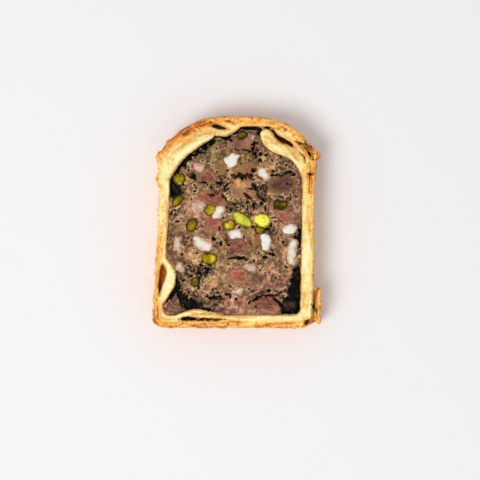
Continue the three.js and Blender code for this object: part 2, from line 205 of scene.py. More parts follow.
def placed(name, data):
    """A new object in the scene."""
    thing = bpy.data.objects.new(name, data)
    bpy.context.scene.collection.objects.link(thing)
    return thing


def mesh_of(name, points, faces):
    """A new mesh from points and the numbers of each face's corners."""
    mesh = bpy.data.meshes.new(name)
    mesh.from_pydata(((points + FOOT_MIDDLE) * MM).tolist(), [], faces.tolist())
    mesh.update()
    return mesh


def surface(mesh):
    """A mesh's vertices in the loaf's frame, in millimetres, and their normals."""
    flat = np.empty((2, 3 * len(mesh.vertices)), np.float32)
    mesh.vertices.foreach_get("co", flat[0])
    mesh.vertices.foreach_get("normal", flat[1])
    places, normals = flat.reshape(2, -1, 3).astype(float)
    return places / MM - FOOT_MIDDLE, normals


def move_points(mesh, points):
    mesh.vertices.foreach_set("co", ((points + FOOT_MIDDLE) * MM).astype(np.float32).ravel())
    mesh.update()


def moved_up(points, height):
    """Points moved straight up."""
    return np.column_stack((points[:, :2], points[:, 2] + height))


def lifted(points, normals, lift):
    """Points moved along their normals, but never below the floor."""
    moved = points + normals * lift[:, None]
    moved[:, 2] = np.maximum(moved[:, 2], 0.0)
    return moved


def piece_of(name, mesh, paint, material, slot, *nodes):
    """Makes a painted mesh a piece of the slice that stands for its nodes."""
    layer = mesh.attributes.new("paint", "FLOAT_COLOR", "POINT")
    opaque = np.column_stack((np.clip(paint, 0, 1), np.ones(len(paint))))
    layer.data.foreach_set("color", opaque.astype(np.float32).ravel())
    mesh.materials.clear()
    mesh.materials.append(material)
    mesh.polygons.foreach_set("use_smooth", np.ones(len(mesh.polygons), bool))
    piece = placed(name, mesh)
    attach(piece, "root")
    if nodes:
        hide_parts(*nodes)


def fine_copy(node, voxel, smoothing):
    """A node's mesh remade from small even faces, with its facets rounded off, and that mesh's surface."""
    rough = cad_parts[node].data.copy()
    shape = bmesh.new()
    shape.from_mesh(rough)
    bmesh.ops.remove_doubles(shape, verts=shape.verts, dist=SAME_POINT * MM)
    shape.to_mesh(rough)
    shape.free()
    scratch = placed("scratch", rough)
    remesh = scratch.modifiers.new("remesh", "REMESH")
    remesh.mode = "VOXEL"
    remesh.voxel_size = voxel * MM
    smooth = scratch.modifiers.new("smooth", "SMOOTH")
    smooth.factor = 0.5
    smooth.iterations = smoothing
    depsgraph = bpy.context.evaluated_depsgraph_get()
    mesh = bpy.data.meshes.new_from_object(scratch.evaluated_get(depsgraph))
    bpy.data.objects.remove(scratch)
    bpy.data.meshes.remove(rough)
    return mesh, *surface(mesh)


def bits(name, spots, sizes, axes, seed, paint, material, slot):
    """Makes a piece of small uneven lumps: one at each spot, with half sizes along its own three axes."""
    ball = bmesh.new()
    bmesh.ops.create_icosphere(ball, subdivisions=2, radius=1.0)
    corners = np.array([corner.co for corner in ball.verts])
    faces = np.array([[corner.index for corner in face.verts] for face in ball.faces])
    ball.free()
    turns = np.arange(len(spots))[:, None, None]
    apart = corners[None] * 1.3 + 17.0 * turns
    uneven = 1 + BIT_UNEVENNESS * noise(apart.reshape(-1, 3), seed).reshape(len(spots), -1, 1)
    points = spots[:, None] + np.einsum("nvk,nkd->nvd", corners * uneven * sizes[:, None], axes)
    numbers = faces[None] + len(corners) * turns
    mesh = mesh_of(name, points.reshape(-1, 3), numbers.reshape(-1, 3))
    piece_of(name, mesh, np.repeat(paint, len(corners), axis=0), material, slot)


def upright_axes(along, out):
    """Three axes at right angles for each row: along, across and out."""
    out = out / np.linalg.norm(out, axis=1)[:, None]
    along = along - out * (along * out).sum(1)[:, None]
    along = along / np.linalg.norm(along, axis=1)[:, None]
    return np.stack((along, np.cross(out, along), out), axis=1)


def tree_of(*nodes):
    """The nodes' faces, for rays, in the loaf's frame."""
    corners = []
    faces = []
    for node in nodes:
        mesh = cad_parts[node].data
        first = len(corners)
        corners.extend(surface(mesh)[0].tolist())
        faces.extend([first + i for i in face.vertices] for face in mesh.polygons)
    return BVHTree.FromPolygons(corners, faces)


def nodes_named(stem):
    return sorted(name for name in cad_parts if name.startswith(stem + "_"))


# A grid over the slice

GRID = 0.36
MARGIN = 2.0
low_corner, high_corner = (np.array(corner) / MM - FOOT_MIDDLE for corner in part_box("crust"))
grid_x, grid_y = np.meshgrid(
    np.arange(low_corner[0] - MARGIN, high_corner[0] + MARGIN, GRID),
    np.arange(low_corner[1] - MARGIN, high_corner[1] + MARGIN, GRID),
)


def looked_at(tree, from_above=True):
    """The height where a vertical ray at each grid point first meets the tree, or nan."""
    start, way = (FAR, -1.0) if from_above else (-FAR, 1.0)
    heights = np.full(grid_x.shape, np.nan)
    for place in np.ndindex(grid_x.shape):
        hit = tree.ray_cast(Vector((grid_x[place], grid_y[place], start)), Vector((0, 0, way)))[0]
        if hit is not None:
            heights[place] = hit.z
    return heights


def within(mask, reach):
    """How far inside a grid mask each point lies, in millimetres, up to a reach."""
    steps = int(reach / GRID) + 1
    rows, columns = mask.shape
    wide = np.pad(mask, steps, mode="edge")
    nearest = np.full(mask.shape, float(reach))
    for i, j in np.ndindex(2 * steps + 1, 2 * steps + 1):
        away = GRID * math.hypot(i - steps, j - steps)
        if away < reach:
            outside = ~wide[i : i + rows, j : j + columns]
            nearest = np.where(outside, np.minimum(nearest, away), nearest)
    return np.maximum(0, nearest - GRID / 2)


def blurred(field, times):
    for _ in range(times):
        wide = np.pad(field, 1, mode="edge")
        field = (wide[:-2, 1:-1] + wide[2:, 1:-1] + wide[1:-1, :-2] + wide[1:-1, 2:] + 4 * field) / 8
    return field


def sampled(field, points):
    """A grid field at any points of the plane."""
    column = np.clip((points[:, 0] - grid_x[0, 0]) / GRID, 0, grid_x.shape[1] - 1.001)
    row = np.clip((points[:, 1] - grid_y[0, 0]) / GRID, 0, grid_x.shape[0] - 1.001)
    i, j = row.astype(int), column.astype(int)
    u, v = column - j, row - i
    lower = field[i, j] * (1 - u) + field[i, j + 1] * u
    upper = field[i + 1, j] * (1 - u) + field[i + 1, j + 1] * u
    return lower * (1 - v) + upper * v


# Colours and materials


def srgb(red, green, blue):
    """A colour given from 0 to 255 as the light it sends back."""
    shares = np.array((red, green, blue)) / 255.0
    return np.where(shares <= 0.04045, shares / 12.92, ((shares + 0.055) / 1.055) ** 2.4)


def blend(paint, colour, mask):
    """Paint with a colour laid over it where a mask is 1."""
    return paint + (colour - paint) * np.clip(mask, 0, 1)[:, None]


def shaded(value, *stops):
    """A colour for each number, by (number, colour) stops."""
    places = [at for at, _ in stops]
    return np.column_stack([np.interp(value, places, [colour[k] for _, colour in stops]) for k in range(3)])


GRAIN_RANGE = (0.3, 0.7)  # where most of a grain's values lie
BUMP_STRENGTH = 0.6


class Material:
    """A node material around one Principled shader, with places in millimetres for its grains."""

    def __init__(self, name, **settings):
        self.material = bpy.data.materials.new(name)
        self.material.use_nodes = True
        self.tree = self.material.node_tree
        self.shader = self.tree.nodes["Principled BSDF"]
        self.feed(self.shader, **settings)
        place = self.node("ShaderNodeTexCoord").outputs["Object"]
        scale = self.node("ShaderNodeMapping", Vector=place, Scale=(1 / MM, 1 / MM, 1 / MM))
        self.place = scale.outputs["Vector"]

    def feed(self, node, **inputs):
        """Gives a node's inputs their values, or links them to other nodes' outputs."""
        for name, value in inputs.items():
            socket = node.inputs[name.replace("_", " ")]
            if isinstance(value, bpy.types.NodeSocket):
                self.tree.links.new(value, socket)
            else:
                socket.default_value = value

    def node(self, kind, **inputs):
        node = self.tree.nodes.new(kind)
        self.feed(node, **inputs)
        return node

    def paint(self):
        """The mesh's own paint."""
        node = self.node("ShaderNodeAttribute")
        node.attribute_name = "paint"
        return node.outputs["Color"]

    def grain(self, span, detail=4.0):
        """Noise from 0 to 1 with features about span millimetres across."""
        node = self.node("ShaderNodeTexNoise", Scale=1 / span, Detail=detail, Vector=self.place)
        return node.outputs["Fac"]

    def stretched(self, grain, low, high):
        """A grain spread over another range."""
        node = self.node("ShaderNodeMapRange", Value=grain, To_Min=low, To_Max=high)
        self.feed(node, From_Min=GRAIN_RANGE[0], From_Max=GRAIN_RANGE[1])
        return node.outputs["Result"]

    def flecked(self, colour, grain, strength):
        """A colour made lighter and darker by a grain."""
        node = self.node("ShaderNodeMix")
        node.data_type = "RGBA"
        node.blend_type = "OVERLAY"
        node.inputs[0].default_value = strength
        self.tree.links.new(colour, node.inputs[6])
        self.tree.links.new(self.stretched(grain, 0.0, 1.0), node.inputs[7])
        return node.outputs[2]


CRUMB = srgb(255, 244, 190)
CRUMB_YELLOW = srgb(254, 232, 156)
CRUMB_TAN = srgb(234, 190, 116)
LIP_TAN = srgb(226, 168, 92)
LIP_SHADE_BROWN = srgb(176, 122, 62)
GOLD = srgb(253, 206, 116)
ORANGE = srgb(246, 174, 80)
BROWN = srgb(208, 118, 42)
RUST = srgb(210, 110, 18)
SCORCH_AND_SHADE = srgb(140, 64, 14)
CHAR_AND_SHADE = srgb(44, 22, 8)

MEAT_DARK = srgb(76, 54, 34)
MEAT = srgb(142, 108, 70)
MEAT_TAN = srgb(176, 137, 94)
MEAT_PALE = srgb(228, 184, 138)
MEAT_PINK = srgb(176, 118, 98)
MEAT_MAUVE = srgb(114, 73, 62)
MEAT_OLIVE = srgb(132, 107, 66)
SCRAP_PALE = srgb(212, 184, 162)
SCRAP_GREEN = srgb(98, 88, 26)
SHADE_AND_JELLY_BLACK = srgb(8, 6, 4)

LEAN_PURPLE = srgb(94, 58, 48)
LEAN_MAUVE = srgb(120, 74, 58)
LEAN_RED = srgb(158, 85, 70)
LEAN_TAUPE = srgb(146, 109, 70)
LEAN_TAN = srgb(198, 147, 94)
SINEW = srgb(190, 152, 116)

FAT_WHITE = srgb(234, 229, 216)
FAT_PINK = srgb(208, 170, 146)

KERNEL_SKIN = srgb(52, 42, 2)
KERNEL_OLIVE = srgb(134, 110, 2)
KERNEL = srgb(188, 164, 10)
KERNEL_BRIGHT = srgb(244, 238, 92)
KERNEL_GREEN = srgb(166, 184, 40)

JELLY = srgb(10, 8, 6)
JELLY_BROWN = srgb(50, 32, 17)

FLOOR = srgb(238, 236, 236)


def food(name, shine, flecks, roughness, relief, **settings):
    """A food's material. Its flecks each have a size, a detail and a strength, its roughness has a size and
    two ends that it varies between, and its relief has a size, a detail and a depth."""
    made = Material(name, Specular_IOR_Level=shine, **settings)
    colour = made.paint()
    for span, detail, strength in flecks:
        colour = made.flecked(colour, made.grain(span, detail), strength)
    span, low, high = roughness
    uneven = made.stretched(made.grain(span), low, high)
    span, detail, depth = relief
    height = made.grain(span, detail)
    bump = made.node("ShaderNodeBump", Strength=BUMP_STRENGTH, Distance=depth * MM, Height=height)
    made.feed(made.shader, Base_Color=colour, Roughness=uneven, Normal=bump.outputs["Normal"])
    return made.material


def crust_material():
    return food("baked_pastry", 0.15, ((1.8, 4, 0.28), (0.6, 4, 0.32)), (2.5, 0.55, 0.8), (0.7, 6, 0.25))


def forcemeat_material():
    return food("coarse_forcemeat", 0.08, ((0.45, 5, 0.36),), (1.4, 0.38, 0.65), (0.45, 5, 0.12))


def lean_material():
    return food("diced_lean", 0.1, ((0.6, 5, 0.35),), (1.2, 0.36, 0.6), (0.5, 4, 0.16))


def fat_material():
    radius = (1.2 * MM, 0.8 * MM, 0.6 * MM)
    glow = {"Subsurface_Weight": 0.2, "Subsurface_Scale": 1.0, "Subsurface_Radius": radius}
    return food("firm_fat", 0.2, ((0.9, 3, 0.18),), (1.0, 0.3, 0.5), (0.7, 3, 0.14), **glow)


def pistachio_material():
    return food("pistachio_kernel", 0.1, ((0.8, 4, 0.25),), (1.0, 0.32, 0.5), (0.6, 3, 0.1))


def jelly_material():
    return food("dark_jelly", 0.06, ((1.0, 5, 0.5),), (1.5, 0.15, 0.4), (1.0, 3, 0.2))


# Crust

CRUST_VOXEL = 0.47
CRUST_SMOOTHING = 2
OUTLINE_STEPS = 480
FACE_DEPTH = 6.0  # cracks open no lower than this below the cut face
WALL_DEPTH = 1.4  # what lies further in from the outline isn't the outer wall
RESTING = 0.4  # what lies lower rests on the floor
# By angle from the middle: how deep the browning reaches in from the outside, how dark it is there, and
# how open the seam is between the browned layer and the pale one.
BROWNING = (
    (0, 5, 0.4, 0), (20, 4.6, 0.42, 0), (34, 6, 0.58, 0.3), (45, 7.6, 0.6, 0.6),
    (58, 7.2, 0.5, 0.3), (75, 5.8, 0.54, 0.1), (90, 5.2, 0.52, 0.1), (112, 5.6, 0.92, 0.8),
    (125, 5, 0.8, 0.8), (138, 4.4, 0.56, 0.4), (144, 2.2, 0.24, 0), (148, 2, 0.24, 0),
    (153, 3, 0.46, 0), (160, 1.4, 0.28, 0), (178, 1.4, 0.24, 0), (192, 5, 0.42, 0),
    (204, 4.4, 0.48, 0), (214, 3.8, 0.52, 0), (232, 3.8, 0.6, 0), (250, 4.2, 0.6, 0.4),
    (270, 4.2, 0.62, 0.2), (290, 3.8, 0.58, 0.1), (306, 4.8, 0.6, 0.3), (314, 4.2, 0.56, 0),
    (324, 1.8, 0.34, 0), (340, 1.8, 0.34, 0), (352, 4, 0.38, 0),
)
# Parts of the pale dough that are more golden than the rest: place, spread and strength.
GOLDEN_DOUGH = (
    (-24, 98.4, 7, 0.65), (-14, 102.6, 5, 0.7), (19, 97, 6, 0.9), (30, 91, 6, 0.7), (37, 80, 6, 0.4),
    (38, 64, 9, 0.35), (-39, 45, 6, 0.8), (-38, 88, 4, 0.4), (-20, 7.4, 7, 0.9), (20, 5, 9, 0.6),
    (-37, 8, 6, 0.7), (12, 4.6, 10, 0.3), (36, 14, 6, 0.35),
)
# Air gaps inside the crust, whose walls are baked and, further down, darkened with painted shade: width,
# darkness and line.
GAPS = (
    (8, 0.56, ((16.6, 104.2), (19.8, 102.3), (21.4, 99.6), (24.4, 97.6), (27.6, 96.2), (31.4, 93.4))),
    (4, 0.6, ((33.4, 96.2), (36.2, 94.2), (38.3, 91), (39.6, 88))),
    (7, 0.58, ((-12.6, 105.4), (-8.8, 104.5), (-3, 103.3))),
    (9, 0.36, ((-38, 33.4), (-37.7, 29), (-38.5, 25), (-39.2, 21.4), (-40, 15.8))),
    (6, 0.66, ((-29.4, 4.4), (-24.6, 4.8), (-17, 4.3), (-6, 4.4))),
)
# Cracks between flaky layers: width, depth and line.
CRUST_CRACKS = (
    (1.2, 1.5, ((31, 97.2), (34, 95.6), (36.4, 95.4), (38, 92.4), (40, 89.6), (41.2, 87.2))),
    (1.2, 1.8, ((37.6, 80.2), (40, 79.8), (42.4, 80.2))),
    (0.7, 0.9, ((-21, 104.2), (-17.5, 105.4), (-14.5, 106.6), (-11, 106.8))),
    (0.9, 0.6, ((-6.2, 108), (-4.4, 107.8), (-2.6, 107.6))),
    (0.9, 1.6, ((-29.4, 4.4), (-24.6, 5), (-19, 4.5), (-12, 4.5), (-5, 4.3))),
    (2, 1.4, ((35.6, 2.2), (38.4, 3.4), (40.8, 5))),
    (1.1, 2, ((39.8, 12.2), (41.4, 10.2), (42.8, 8.4), (43, 6.4))),
    (0.7, 0.9, ((36, 97.4), (38.6, 95), (40.6, 92))),
    (0.7, 0.8, ((33.6, 91.6), (35.6, 88.6), (36.4, 85))),
    (0.6, 0.7, ((38.4, 86), (39.2, 82.6), (38.6, 77), (38.8, 71))),
)
# The line where the right flap meets the lid, half its width, and its depth.
FLAP_SEAM = (
    (11.4, 101.8), (13.2, 103.6), (15.4, 104.3), (17.4, 104.1), (19.2, 102.9), (20.4, 101.4), (22.4, 99.4),
)
SEAM_HALF = 0.5
SEAM_DEPTH = 2.0
# Streaks in the dough, tan and pale, partly painted shade and painted highlight: width, strength and line.
TAN_AND_SHADE_STREAKS = (
    (2.8, 0.45, ((-32, 90.6), (-25, 96.8), (-19, 100.8), (-13.5, 103.4))),
    (2.2, 0.8, ((18.4, 100.6), (20, 99.2), (24, 96.2), (29, 93.4))),
    (1.8, 0.7, ((-24, 6.4), (-16, 7.4), (-6, 6.6), (6, 5.4))),
    (1.6, 0.3, ((40.4, 62), (39.6, 52), (39.4, 40))),
    (1.4, 0.5, ((-35.9, 78), (-35.7, 66), (-35.4, 52), (-35.6, 40))),
)
# The pale streaks are partly painted highlight on lit edges.
PALE_AND_HIGHLIGHT_STREAKS = (
    (1.8, 0.9, ((-33, 85), (-27, 91.2), (-21, 95.4), (-12, 99.8))),
    (2.2, 0.6, ((16, 97.4), (21, 93.6), (26, 91.6))),
    (2.4, 0.4, ((-35.2, 31), (-33.6, 26), (-34.4, 20), (-37, 15))),
    (2.8, 0.8, ((-39.6, 76), (-39.4, 66), (-39, 54))),
    (2, 0.7, ((36, 44), (36.4, 34), (36.4, 22))),
)
FLAKE_COUNT = 800
FLAKE_SEED = 75
FLAKE_LOWEST = 1.6
# Least and most half sizes of a flake: its length, its width and height on a wall, and both on the face.
FLAKE_LENGTH = (0.5, 2.2)
WALL_FLAKE = ((0.3, 0.9), (0.1, 0.2))
FACE_FLAKE = (0.14, 0.34)


def outline():
    """The crust's outer outline at half the thickness: points once round the loaf, back to the first."""
    tree = tree_of("crust")
    points = []
    for k in range(OUTLINE_STEPS + 1):
        angle = 2 * math.pi * k / OUTLINE_STEPS
        out = Vector((math.cos(angle), math.sin(angle), 0))
        start = Vector((*SLICE_MIDDLE, THICKNESS / 2)) + FAR * out
        points.append(tree.ray_cast(start, -out)[0].xy)
    return np.array(points)


def browning_at(points):
    """How deep and dark the crust is browned at each point's angle, and how open its seam is."""
    angle = np.degrees(np.arctan2(points[:, 1] - SLICE_MIDDLE[1], points[:, 0] - SLICE_MIDDLE[0])) % 360
    table = np.array(BROWNING)
    return (np.interp(angle, table[:, 0], table[:, k], period=360) for k in (1, 2, 3))


def crust():
    """The baked crust, its paint and its loose flakes."""
    mesh, points, normals = fine_copy("crust", CRUST_VOXEL, CRUST_SMOOTHING)
    plan = points[:, :2]
    ring = outline()
    depth, travel, heading = along_line(plan, ring)
    travel *= np.hypot(*np.diff(ring, axis=0).T).sum()
    deep, dark, seam_open = browning_at(plan)
    face = looked_at(tree_of("crust")) > CUT_TOP
    edge = sampled(blurred(within(face, 3.0), 2), plan)

    # What each point is like
    cut = np.clip(np.abs(normals[:, 2]), 0, 1) ** 2
    on_face = (normals[:, 2] > 0.3) & (points[:, 2] > THICKNESS - FACE_DEPTH)
    broad = layered(points / 9.0, 2, seed=15)
    coarse = layered(points / 3.6, 3, seed=41)
    fine = layered(points / 1.1, 3, seed=51)
    skin = np.where((cut > 0.5)[:, None], plan, np.column_stack((travel, points[:, 2])))
    crumb = cell_numbers(skin / 0.9, seed=31)
    share = depth / deep + 0.2 * coarse + 0.12 * fine
    brown = dark * fall(0.55, 1.15, share)
    flaky = rise(0.2, 0.5, brown)
    sheets = np.column_stack((travel / 5.5, (depth + 0.8 * coarse) / 0.7, points[:, 2] / 6.0))
    sheet = noise(sheets, seed=25) + 0.5 * noise(2.1 * sheets, seed=22)
    split = rise(0.5, 0.85, sheet + 0.4 * broad) * flaky
    seam = bell((share - 0.85) * deep / 0.34) * rise(0.0, 0.6, seam_open + coarse - 0.4)
    pore = flaky * fall(0.04, 0.1, crumb)
    inner = rise(1.8, 3.2, depth)
    lip = np.clip(1 - edge / (0.8 + 0.5 * inner), 0, 1) ** 2
    rimmed = (0.6 + 0.5 * coarse) * inner * rise(1.0, 4.0, points[:, 2])
    sunk, _, _ = torn(points, CRUST_CRACKS, seed=800)
    fold, _, _ = along_line(plan, FLAP_SEAM)
    sunk = np.maximum(sunk, SEAM_DEPTH * fall(0.7, 1.4, (fold + 0.25 * fine) / SEAM_HALF))
    sunk = np.where(on_face, sunk, 0)

    # Relief
    rough = 0.2 + 0.8 * flaky
    grit = 0.26 * fine + 0.14 * (crumb - 0.5)
    face_lift = 0.25 * broad + 0.3 * coarse + rough * grit + (0.08 + 0.3 * flaky) * sheet
    face_lift -= 0.6 * split + 0.4 * pore + 0.25 * seam
    wall_lift = 0.5 * broad + 0.45 * coarse + rough * grit
    lift = cut * face_lift + (1 - cut) * wall_lift
    lift -= np.where(on_face, 0.4 * lip + sunk, 0)
    lift = np.where(points[:, 2] < RESTING, -0.4 * np.abs(lift), lift)
    points = lifted(points, normals, lift)
    move_points(mesh, points)

    # Colour
    bake = brown + flaky * (0.3 * sheet + 0.14 * fine + 0.06 * (crumb - 0.5)) + 0.14 * coarse
    outside = (1 - cut) * (depth < WALL_DEPTH)
    bake = np.maximum(bake, outside * (0.5 + 0.28 * dark + 0.2 * coarse + 0.12 * fine))
    layers = np.column_stack((travel / 12, (depth + 0.5 * coarse) / 1.4, points[:, 2] / 20))
    band = noise(layers, seed=61) + 0.6 * noise(2.2 * layers, seed=62)
    golden = zones(points, GOLDEN_DOUGH) * (0.3 + 0.7 * rise(0.6, 2.2, edge))
    dough = 0.62 + 0.45 * band + 0.3 * coarse + 0.3 * fine - 0.85 * golden
    # Tan streaks: partly tan dough, partly painted shade on the flaps' upper bands and by the left wall's
    # inner edge.
    tan, _, _ = torn(points, TAN_AND_SHADE_STREAKS, seed=840)
    # Pale streaks: partly pale dough, partly painted highlight on the lit edges of the flaps, the fold's lip
    # and the left wall's outer edge.
    cream, _, _ = torn(points, PALE_AND_HIGHLIGHT_STREAKS, seed=860)
    dough += cut * (0.5 * cream - 0.7 * tan)
    paint = shaded(dough, (-0.3, LIP_TAN), (0.05, CRUMB_TAN), (0.55, CRUMB_YELLOW), (1.0, CRUMB))
    paint = blend(paint, baked(bake), rise(0.08, 0.4, bake))
    paint = blend(paint, CRUMB, 0.25 * cut * flaky * rise(0.82, 0.97, crumb))
    # Painted shade along the crust's inner edge, where its lip dips towards the filling, over a tan line of
    # the dough's own colour.
    paint = blend(paint, LIP_TAN, rimmed * fall(0.3, 1.5, edge))
    paint = blend(paint, LIP_SHADE_BROWN, rimmed * fall(0.3, 1.0, edge))
    paint = blend(paint, LIP_TAN, 0.35 * cut * fall(0.03, 0.07, crumb))
    # The splits between layers, the seam and the pores are dark: partly baked colour, partly painted shade
    # in these dips.
    paint = blend(paint, SCORCH_AND_SHADE, cut * most(0.5 * split, 0.45 * seam, 0.6 * pore))
    dimness, gap, _ = torn(points, GAPS, seed=820)
    drop = THICKNESS - points[:, 2]
    below = rise(0.5, 1.3, drop) * fall(5.0, 7.0, drop) * rise(0.8, 1.6, depth)
    # Painted shade: the gap walls grow darker further below the cut face.
    dimness += gap * (0.25 * coarse + 0.03 * drop)
    paint = blend(paint, shaded(dimness, (0.3, RUST), (0.6, SCORCH_AND_SHADE), (0.85, CHAR_AND_SHADE)), gap * below)
    # Painted shade: the cracks and the flap's seam are darker the deeper they sink.
    paint = blend(paint, shaded(sunk, (0.7, SCORCH_AND_SHADE), (1.7, CHAR_AND_SHADE)), rise(0.1, 0.6, sunk))
    material = crust_material()
    piece_of("crust_baked", mesh, paint, material, "crust", "crust")

    outer = (depth < deep) & (points[:, 2] > 0.8)
    crisp = outer * rise(0.3, 0.7, brown + 0.4 * outside) ** 2 * (1 - 0.7 * rise(0.8, 2.0, depth))
    flakes(points, normals, heading, crisp * (1 - gap), bake, material)


def baked(bake):
    """The colour of pastry by how far it is baked."""
    return shaded(bake, (0.3, GOLD), (0.6, ORANGE), (0.85, BROWN), (1.1, SCORCH_AND_SHADE))


def flakes(points, normals, heading, crisp, bake, material):
    """Thin flakes of pastry that stand off the crust where it is crisp."""
    draw = np.random.default_rng(FLAKE_SEED)
    chosen = draw.choice(len(points), FLAKE_COUNT, p=crisp / crisp.sum())
    along = np.column_stack((np.cos(heading[chosen]), np.sin(heading[chosen]), np.zeros(FLAKE_COUNT)))
    along += draw.normal(0, 0.2, along.shape)
    out = normals[chosen] + draw.normal(0, 0.2, along.shape)
    on_face = normals[chosen, 2] > 0.5
    sizes = [draw.uniform(*FLAKE_LENGTH, FLAKE_COUNT)]
    for wall_size in WALL_FLAKE:
        face_flake = draw.uniform(*FACE_FLAKE, FLAKE_COUNT)
        sizes.append(np.where(on_face, face_flake, draw.uniform(*wall_size, FLAKE_COUNT)))
    spots = points[chosen]
    spots[:, 2] = np.clip(spots[:, 2], FLAKE_LOWEST, None)
    paint = baked(np.clip(bake[chosen], 0.2, 0.8) + draw.uniform(-0.2, 0.1, FLAKE_COUNT))
    axes = upright_axes(along, out)
    bits("crust_flakes", spots, np.column_stack(sizes), axes, 72, paint, material, "crust")


# Forcemeat

# The seeds of the two cut faces, and what is added to them for ragged edges and for cracks.
UPPER_SEED, LOWER_SEED = 1000, 2000
SHAKE_SEED = 40
CRACK_SEED = 110
# Below, a soft spot is a place, a spread and a strength, and a patch is a place, a length, a width and a
# turn in degrees.
# Broad tones of the filling, as soft spots by colour.
TONES = (
    (MEAT_DARK, (
        (-14, 88, 6, 0.25), (24, 50, 5, 0.2), (-1, 97, 4.5, 0.5), (-6, 95, 4, 0.6), (26, 87, 4, 0.35),
        (15, 28, 4, 0.2), (-20, 52, 4, 0.2),
    )),
    (MEAT_OLIVE, (
        (-13, 89, 9, 0.9), (6, 88, 6, 0.6), (-24, 72, 7, 0.5), (24, 66, 7, 0.6), (14, 36, 9, 0.7),
        (-2, 37, 6, 0.5), (-14, 79, 6, 0.8),
    )),
    (MEAT_TAN, (
        (21, 85, 6, 1), (-26, 66, 8, 0.9), (-7.4, 25.6, 3.5, 1.1), (-22, 40, 7, 0.6), (-6, 57, 6, 0.5),
        (20, 47, 5, 0.4), (4, 68, 6, 0.8), (-7, 31, 7, 0.7),
    )),
    (MEAT_PINK, (
        (-18, 58, 9, 1.1), (-4, 58, 5, 0.7), (13, 24, 12, 0.8), (2, 12, 12, 0.8), (8, 97.6, 4, 1.2),
        (-24, 86, 5, 0.6), (22, 59, 6, 0.6), (31, 61, 5, 1),
    )),
    (MEAT_MAUVE, (
        (-1, 97.6, 4.5, 1), (-6, 95, 3.5, 0.8), (13, 93, 4, 0.7), (27, 86, 6, 0.8), (-33, 44, 6, 0.8),
        (-31, 36, 6, 0.6), (-33, 11, 6, 0.9), (30, 57, 5, 0.7), (26, 62, 5, 0.7), (33, 40, 5, 0.3),
        (21, 46, 5, 0.9), (0, 11, 6, 0.5), (-28, 21, 5, 0.6), (-20, 52, 6, 0.5), (30, 72, 6, 0.6),
        (22, 22, 6, 0.7), (15, 28, 7, 0.5),
    )),
)
# Soft spots where the meat is loose, with fibres and dark gaps.
LOOSE = (
    (-19, 79, 7, 0.6), (-8, 72, 8, 1), (11, 90, 6, 0.6), (25, 83, 7, 0.8), (13, 70, 8, 1),
    (2, 64, 8, 1), (19, 53, 5, 0.6), (-7, 45, 6, 0.6), (14, 38, 8, 0.6), (-19, 29, 8, 1),
    (-10, 16, 8, 0.6), (24, 18, 6, 0.7), (-31, 60, 5, 0.7), (-27, 74, 6, 0.5), (27, 68, 5, 0.6),
    (-24, 44, 5, 0.5), (-24, 17, 7, 0.7), (4, 79, 6, 0.6), (-29, 33, 5, 0.4), (31, 30, 5, 0.7),
    (4, 92, 5, 0.4),
)
# How far the pale brink of a torn pit, partly a painted highlight on its edge, reaches past it, on both
# sides together.
BRINK = 1.3
